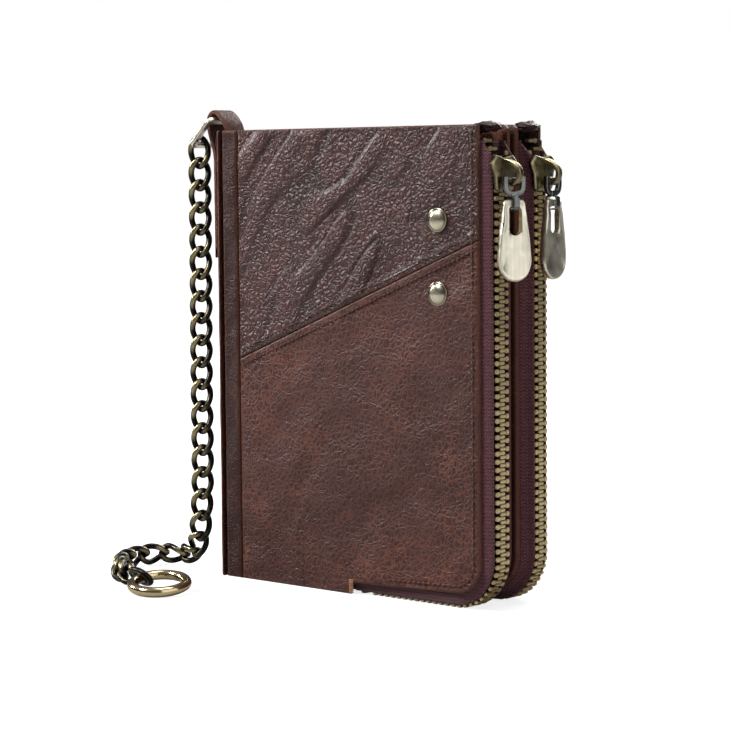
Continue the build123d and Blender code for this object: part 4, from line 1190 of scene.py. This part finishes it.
class WALLET_OT_zips(bpy.types.Operator):
    """Woven tapes, brass teeth and end staples of both zips"""
    bl_idname = "wallet.zips"
    bl_label = "Zips"

    def execute(self, context):
        shapes = {True: tooth_shape(True), False: tooth_shape(False)}
        for side, name in SIDES:
            for row, part, body, spread in ((1, "outer", "_cover", 0.6), (-1, "inner", "_leaf", 2.0)):
                self.teeth(side, name, row, part, body, spread, shapes)
                self.tape(side, name, row, part, body, spread)
            stop = Heap()
            path = [(ZIP_END - 1.5, side * (ZIP_Y + y), 0.62) for y in np.linspace(-2.3, 2.3, 9)]
            stop.add(*sweep(path, soft_box(0.85, 0.5, 0.25), (1, 0, 0)))
            stop.piece(name + "_staple", name + "_leaf", "antique_brass", finish_of("antique"),
                       (name + "_bottom_stop",))
        return {"FINISHED"}

    def teeth(self, side, name, row, part, body, spread, shapes):
        heap = Heap()
        shift = 0.0 if row > 0 else TOOTH_PITCH / 2
        length = SPLIT - ZIP_TURN + ZIP_TURN * math.pi / 2 + CREST - ZIP_TURN - ZIP_END
        spots = []
        for k in range(int((length - shift - 1.25) / TOOTH_PITCH) + 1):
            x, z, a = crest(shift + k * TOOTH_PITCH)
            spots.append((x, ZIP_Y, z, a, True))
        for k in range(1, int((ROWS_TOP - SPLIT - shift) / TOOTH_PITCH) + 1):
            z = SPLIT - shift + k * TOOTH_PITCH
            parted, tucked = parting(z - 0.62)[0], parting(z + 0.62)[1]
            beside = SLIDER_Z + 2.6 - 1.25 < z < TUCK + 1.25
            spots.append((CREST - tucked * 3.0, ZIP_Y + row * spread * parted, z, 0.0, not beside))
        for x, y, z, a, whole in spots:
            points, faces = shapes[whole]
            p = points.copy()
            p[:, 1] *= row
            dark = np.clip(-points[:, 0] / TOOTH_DEPTH * 1.3 - 0.05, 0, 1)
            turned = np.column_stack([x + p[:, 0] * math.cos(a) + p[:, 2] * math.sin(a), side * (y + p[:, 1]),
                                      z - p[:, 0] * math.sin(a) * -1 * -1 + p[:, 2] * math.cos(a)])
            heap.add(turned, faces, 0.0, dark)
        heap.piece(name + "_" + part + "_row", name + body, "antique_brass", finish_of("teeth"),
                   (name + "_" + part + "_teeth",))

    def profile(self, row, tuck, spread):
        """The tape's section as (depth, y), from its bead to its hem and back."""
        if row > 0:
            bead = ZIP_Y + 2.6 + spread
            return [(0.95 + tuck, bead), (0.75 + tuck, bead + 0.35), (1.05 + tuck, bead + 0.7),
                    (1.7 + tuck, bead + 0.75), (2.6, 11.75), (4.3, 12.05), (6.0, 12.05), (6.0, 11.6), (4.1, 11.6),
                    (2.9, 11.25), (2.2 + tuck, bead + 0.15)]
        bead = ZIP_Y - 2.6 - spread
        return [(0.35 + tuck, bead), (0.15 + tuck, bead - 0.35), (0.45 + tuck, bead - 0.7), (1.2 + tuck, bead - 0.75),
                (2.4, 3.0), (3.3, 2.35), (7.9, 2.35), (7.9, 2.8), (4.1, 2.8), (2.9, 3.5), (1.7 + tuck, bead - 0.15)]

    def tape(self, side, name, row, part, body, spread):
        heap = Heap()
        length = SPLIT - ZIP_TURN + ZIP_TURN * math.pi / 2 + CREST - ZIP_TURN - NOTCH - 0.3
        rings = []
        for z in np.linspace(ROWS_TOP, SPLIT, 16)[:-1]:
            parted, tucked = parting(z)
            rings.append((CREST, z, 0.0, self.profile(row, 3.0 * tucked, spread * parted)))
        for s in np.linspace(0.0, length, 190):
            rings.append((*crest(s), self.profile(row, 0.0, 0.0)))
        points = []
        for x, z, a, section in rings:
            for d, y in section:
                points.append((x - d * math.cos(a), side * y, z + d * math.sin(a)))
        m = len(rings[0][3])
        faces = [(i * m + j, i * m + (j + 1) % m, (i + 1) * m + (j + 1) % m, (i + 1) * m + j)
                 for i in range(len(rings) - 1) for j in range(m)]
        faces += [tuple(range(m)), tuple(range((len(rings) - 1) * m, len(rings) * m))]
        heap.add(points, faces)
        heap.piece(name + "_" + part + "_ribbon", name + body, "zip_tape", finish_of("tape"),
                   (name + "_" + part + "_tape",), 60.0)


class WALLET_OT_sliders(bpy.types.Operator):
    """Zip sliders with their arches"""
    bl_idname = "wallet.sliders"
    bl_label = "Sliders"

    def execute(self, context):
        for side, name in SIDES:
            heap = Heap()
            shape = outline([(-3.6, -4.6, 1.2), (3.6, -4.6, 1.2), (4.2, 0.0, 1.5), (5.6, 2.4, 1.3), (3.4, 4.6, 0.9),
                             (0.0, 3.9, 1.2), (-3.4, 4.6, 0.9), (-5.6, 2.4, 1.3), (-4.2, 0.0, 1.5)], 120)
            self.plate(heap, shape, CREST + 0.12, 1.1, side, 0.45)
            inner = outline([(-2.4, -4.6, 0.8), (2.4, -4.6, 0.8), (2.4, 4.6, 0.8), (-2.4, 4.6, 0.8)], 80)
            self.plate(heap, inner, 95.9, 0.85, side, 0.1)
            post = [(x, side * ZIP_Y, SLIDER_Z + 3.6) for x in np.linspace(96.8, 99.3, 4)]
            heap.add(*sweep(post, soft_box(0.35, 0.95, 0.2), (0, 1, 0)), 0.0, 0.8)
            x = CREST + 1.2
            arch = curve_through([
                (x - 0.3, 0, SLIDER_Z - 2.2), (x + 0.6, 0, SLIDER_Z - 2.6), (x + 2.9, 0, SLIDER_Z - 2.6),
                (x + 4.4, 0, SLIDER_Z - 1.3), (x + 4.5, 0, SLIDER_Z + 0.6), (x + 3.2, 0, SLIDER_Z + 2.1),
                (x + 1.2, 0, SLIDER_Z + 3.0), (x - 0.3, 0, SLIDER_Z + 3.2)], 0.25)
            arch[:, 1] = side * ZIP_Y
            points, faces = sweep(arch, soft_box(0.9, 0.6, 0.4, 4), (0, 1, 0))
            heap.add(points, faces, 0.0, np.clip(0.6 - np.abs(points[:, 1] - side * ZIP_Y) * 0.4, 0, 1) * 0.6)
            heap.piece(name + "_zip_slider", name + "_slider", "antique_brass", finish_of("antique"),
                       (name + "_slider",))
        return {"FINISHED"}

    def plate(self, heap, shape, x, thick, side, crown):
        """A crowned plate facing out of the zip."""
        rings = []
        centre = shape.mean(axis=0)
        for share, depth in ((0.97, 0.0), (1.0, 0.3), (1.0, 0.62), (0.95, 0.88), (0.86, 1.0), (0.6, 1.0 + 0.5 * crown),
                             (0.3, 1.0 + 0.85 * crown), (0.02, 1.0 + crown)):
            flat = centre + (shape - centre) * share
            rings.append(np.column_stack([np.full(len(flat), x + thick * depth), side * (ZIP_Y + flat[:, 0]),
                                          SLIDER_Z + flat[:, 1]]))
        n = len(shape)
        faces = [(i * n + k, i * n + (k + 1) % n, (i + 1) * n + (k + 1) % n, (i + 1) * n + k)
                 for i in range(len(rings) - 1) for k in range(n)]
        faces += [tuple(range(n)), tuple(range((len(rings) - 1) * n, len(rings) * n))]
        dark = np.concatenate([np.full(n, d) for d in (1.0, 0.9, 0.5, 0.1, 0.25, 0.4, 0.3, 0.2)])
        heap.add(np.concatenate(rings), faces, 0.0, dark)


class WALLET_OT_pulls(bpy.types.Operator):
    """Dark links and teardrop tabs that hang from the sliders"""
    bl_idname = "wallet.pulls"
    bl_label = "Pulls"

    def execute(self, context):
        for side, name in SIDES:
            yaw = PULL_TURN[side]
            out = np.array((math.cos(yaw), math.sin(yaw), 0.0))
            wide = np.array((-math.sin(yaw), math.cos(yaw), 0.0))
            pin = np.array((PIN_X, side * ZIP_Y, PIN_Z))
            self.link(name, pin, out, wide)
            self.tab(name, pin - np.array((0, 0, LINK_DROP)), out, wide)
        return {"FINISHED"}

    def link(self, name, pin, out, wide):
        heap = Heap()
        up = np.array((0, 0, 1.0))
        heap.add(*sweep([pin + wide * w for w in np.linspace(-2.9, 2.9, 12)], oval(0.4, 0.4, 14), up))
        for w in (-1, 1):
            path = curve_through([pin + wide * w * 2.45 + up * 0.55, pin + wide * w * 2.5 - up * 0.8,
                                  pin + wide * w * 2.4 - up * 2.2, pin + wide * w * 1.9 - up * 3.3,
                                  pin + wide * w * 0.9 - up * 3.75, pin - up * 3.8], 0.3)
            points, faces = sweep(path, soft_box(0.62, 0.72, 0.3, 4), out)
            heap.add(points, faces)
        low = pin - up * LINK_DROP
        loop = outline([(-1.6, 1.75, 0.7), (1.6, 1.75, 0.7), (1.6, -1.65, 0.8), (-1.6, -1.65, 0.8)], 60)
        path = [low + out * a + up * b for a, b in loop]
        points, faces = sweep(path, soft_box(0.8, 0.22, 0.12, 3), wide, closed=True)
        heap.add(points, faces)
        heap.add(*sweep([low + up * h for h in np.linspace(1.7, 2.7, 4)], soft_box(1.15, 0.7, 0.25), wide))
        heap.piece(name + "_link", name + "_pull_link", "dark_nickel", finish_of("nickel"),
                   (name + "_pull_link",))

    def tab(self, name, hang, out, wide):
        """A teardrop with a thick rim, a brushed face and a slot below its bar; the rim, polished on the real tab, is
        brushed here like the face.
        """
        heap = Heap()
        hub = np.array((0.0, -5.2))
        body = outline([(-2.85, 1.0, 0.9), (2.85, 1.0, 0.9), (4.1, -8.0, 7.0), (4.6, -15.2, 3.2), (3.2, -19.8, 4.2),
                        (-3.2, -19.8, 4.2), (-4.6, -15.2, 3.2), (-4.1, -8.0, 7.0)], 600)
        slot = outline([(-1.7, -0.9, 0.9), (1.7, -0.9, 0.9), (1.7, -8.1, 1.65), (-1.7, -8.1, 1.65)], 600)

        def by_angle(loop):
            a = np.arctan2(loop[:, 1] - hub[1], loop[:, 0] - hub[0])
            order = np.argsort(a)
            grid = np.linspace(-math.pi, math.pi, 144, endpoint=False)
            r = np.hypot(loop[:, 0] - hub[0], loop[:, 1] - hub[1])
            reach = np.interp(grid, a[order], r[order], period=2 * math.pi)
            return np.column_stack([hub[0] + reach * np.cos(grid), hub[1] + reach * np.sin(grid)])
        edge, hole = by_angle(body), by_angle(slot)
        inward = hub - edge
        inward /= np.linalg.norm(inward, axis=1)[:, None]
        thick = np.where(edge[:, 1] > -1.6, 0.72, 1.0)
        rings, dark = [], []

        def ring(flat, depth, shade):
            half = np.interp(flat[:, 1], [-3.0, -1.4], [1.0, 0.70])
            spots = hang + out * 0 + np.outer(depth * half, out) + np.outer(flat[:, 0], wide)
            spots[:, 2] = hang[2] + flat[:, 1]
            rings.append(spots)
            dark.append(np.full(len(flat), shade))
        for face in (1, -1):
            steps = [(edge, 0.25, 0.35), (edge + inward * 0.12, 0.72, 0.0), (edge + inward * 0.45, 1.0, 0.0),
                     (edge + inward * 0.95, 1.0, 0.0), (edge + inward * 1.10, 0.94, 0.2),
                     (hole + (edge - hole) * 0.32, 0.94, 0.0), (hole + (edge - hole) * 0.10, 0.92, 0.05),
                     (hole, 0.70, 0.5)]
            if face < 0:
                steps = steps[::-1]
            for flat, depth, shade in steps:
                ring(flat, face * depth, shade)
        n = len(edge)
        count = len(rings)
        faces = [(i * n + k, i * n + (k + 1) % n, (i + 1) % count * n + (k + 1) % n, (i + 1) % count * n + k)
                 for i in range(count) for k in range(n)]
        heap.add(np.concatenate(rings), faces, 0.0, np.concatenate(dark))
        heap.piece(name + "_tab", name + "_pull_tab", "brushed_brass", finish_of("brushed"), (name + "_pull_tab",),
                   30.0)


class WALLET_OT_rivets(bpy.types.Operator):
    """Domed rivets beside the seam"""
    bl_idname = "wallet.rivets"
    bl_label = "Rivets"

    def execute(self, context):
        heap = Heap()
        profile = [(2.6, -0.9), (3.15, -0.1), (3.2, 0.16), (3.08, 0.34), (2.86, 0.40), (2.66, 0.36), (2.56, 0.44),
                   (2.36, 0.64), (1.9, 0.84), (1.2, 0.99), (0.5, 1.05), (0.02, 1.06)]
        shade = (0.9, 0.9, 0.7, 0.4, 0.9, 1.0, 0.5, 0.05, 0, 0, 0, 0)
        for x, z in RIVETS:
            points, faces = lathe(profile, (x, -FACE - 0.05, z), (0, -1, 0), 48)
            heap.add(points, faces, 0.0, np.repeat(shade, 48))
        heap.piece("rivet_domes", "front_cover", "antique_brass", finish_of("rivet"), ("rivet_caps",), 60.0)
        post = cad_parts["rivet_posts"]
        for slot in post.material_slots:
            slot.material = finish_of("antique")
        return {"FINISHED"}


STEPS = (WALLET_OT_stage, WALLET_OT_chain, WALLET_OT_spine, WALLET_OT_covers, WALLET_OT_linings, WALLET_OT_leaves,
         WALLET_OT_zips, WALLET_OT_sliders, WALLET_OT_pulls, WALLET_OT_rivets)
GROUPS = (("wallet_leather", WALLET_PG_leather), ("wallet_metal", WALLET_PG_metal), ("wallet_stage", WALLET_PG_stage))


class WALLET_PT_panel(bpy.types.Panel):
    """The wallet's settings and steps"""
    bl_idname = "WALLET_PT_panel"
    bl_label = "Wallet"
    bl_space_type = "VIEW_3D"
    bl_region_type = "UI"
    bl_category = "Wallet"

    def draw(self, context):
        for key, group in GROUPS:
            box = self.layout.box()
            settings = getattr(context.scene, key)
            for name in group.__annotations__:
                box.prop(settings, name)
        for step in STEPS:
            self.layout.operator(step.bl_idname)


def register():
    for key, group in GROUPS:
        bpy.utils.register_class(group)
        setattr(bpy.types.Scene, key, bpy.props.PointerProperty(type=group))
    for step in STEPS:
        bpy.utils.register_class(step)
    bpy.utils.register_class(WALLET_PT_panel)


def unregister():
    bpy.utils.unregister_class(WALLET_PT_panel)
    for step in reversed(STEPS):
        bpy.utils.unregister_class(step)
    for key, group in reversed(GROUPS):
        delattr(bpy.types.Scene, key)
        bpy.utils.unregister_class(group)


def main():
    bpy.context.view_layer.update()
    register()
    for step in STEPS:
        family, name = step.bl_idname.split(".")
        getattr(getattr(bpy.ops, family), name)()


if __name__ == "__main__":
    main()
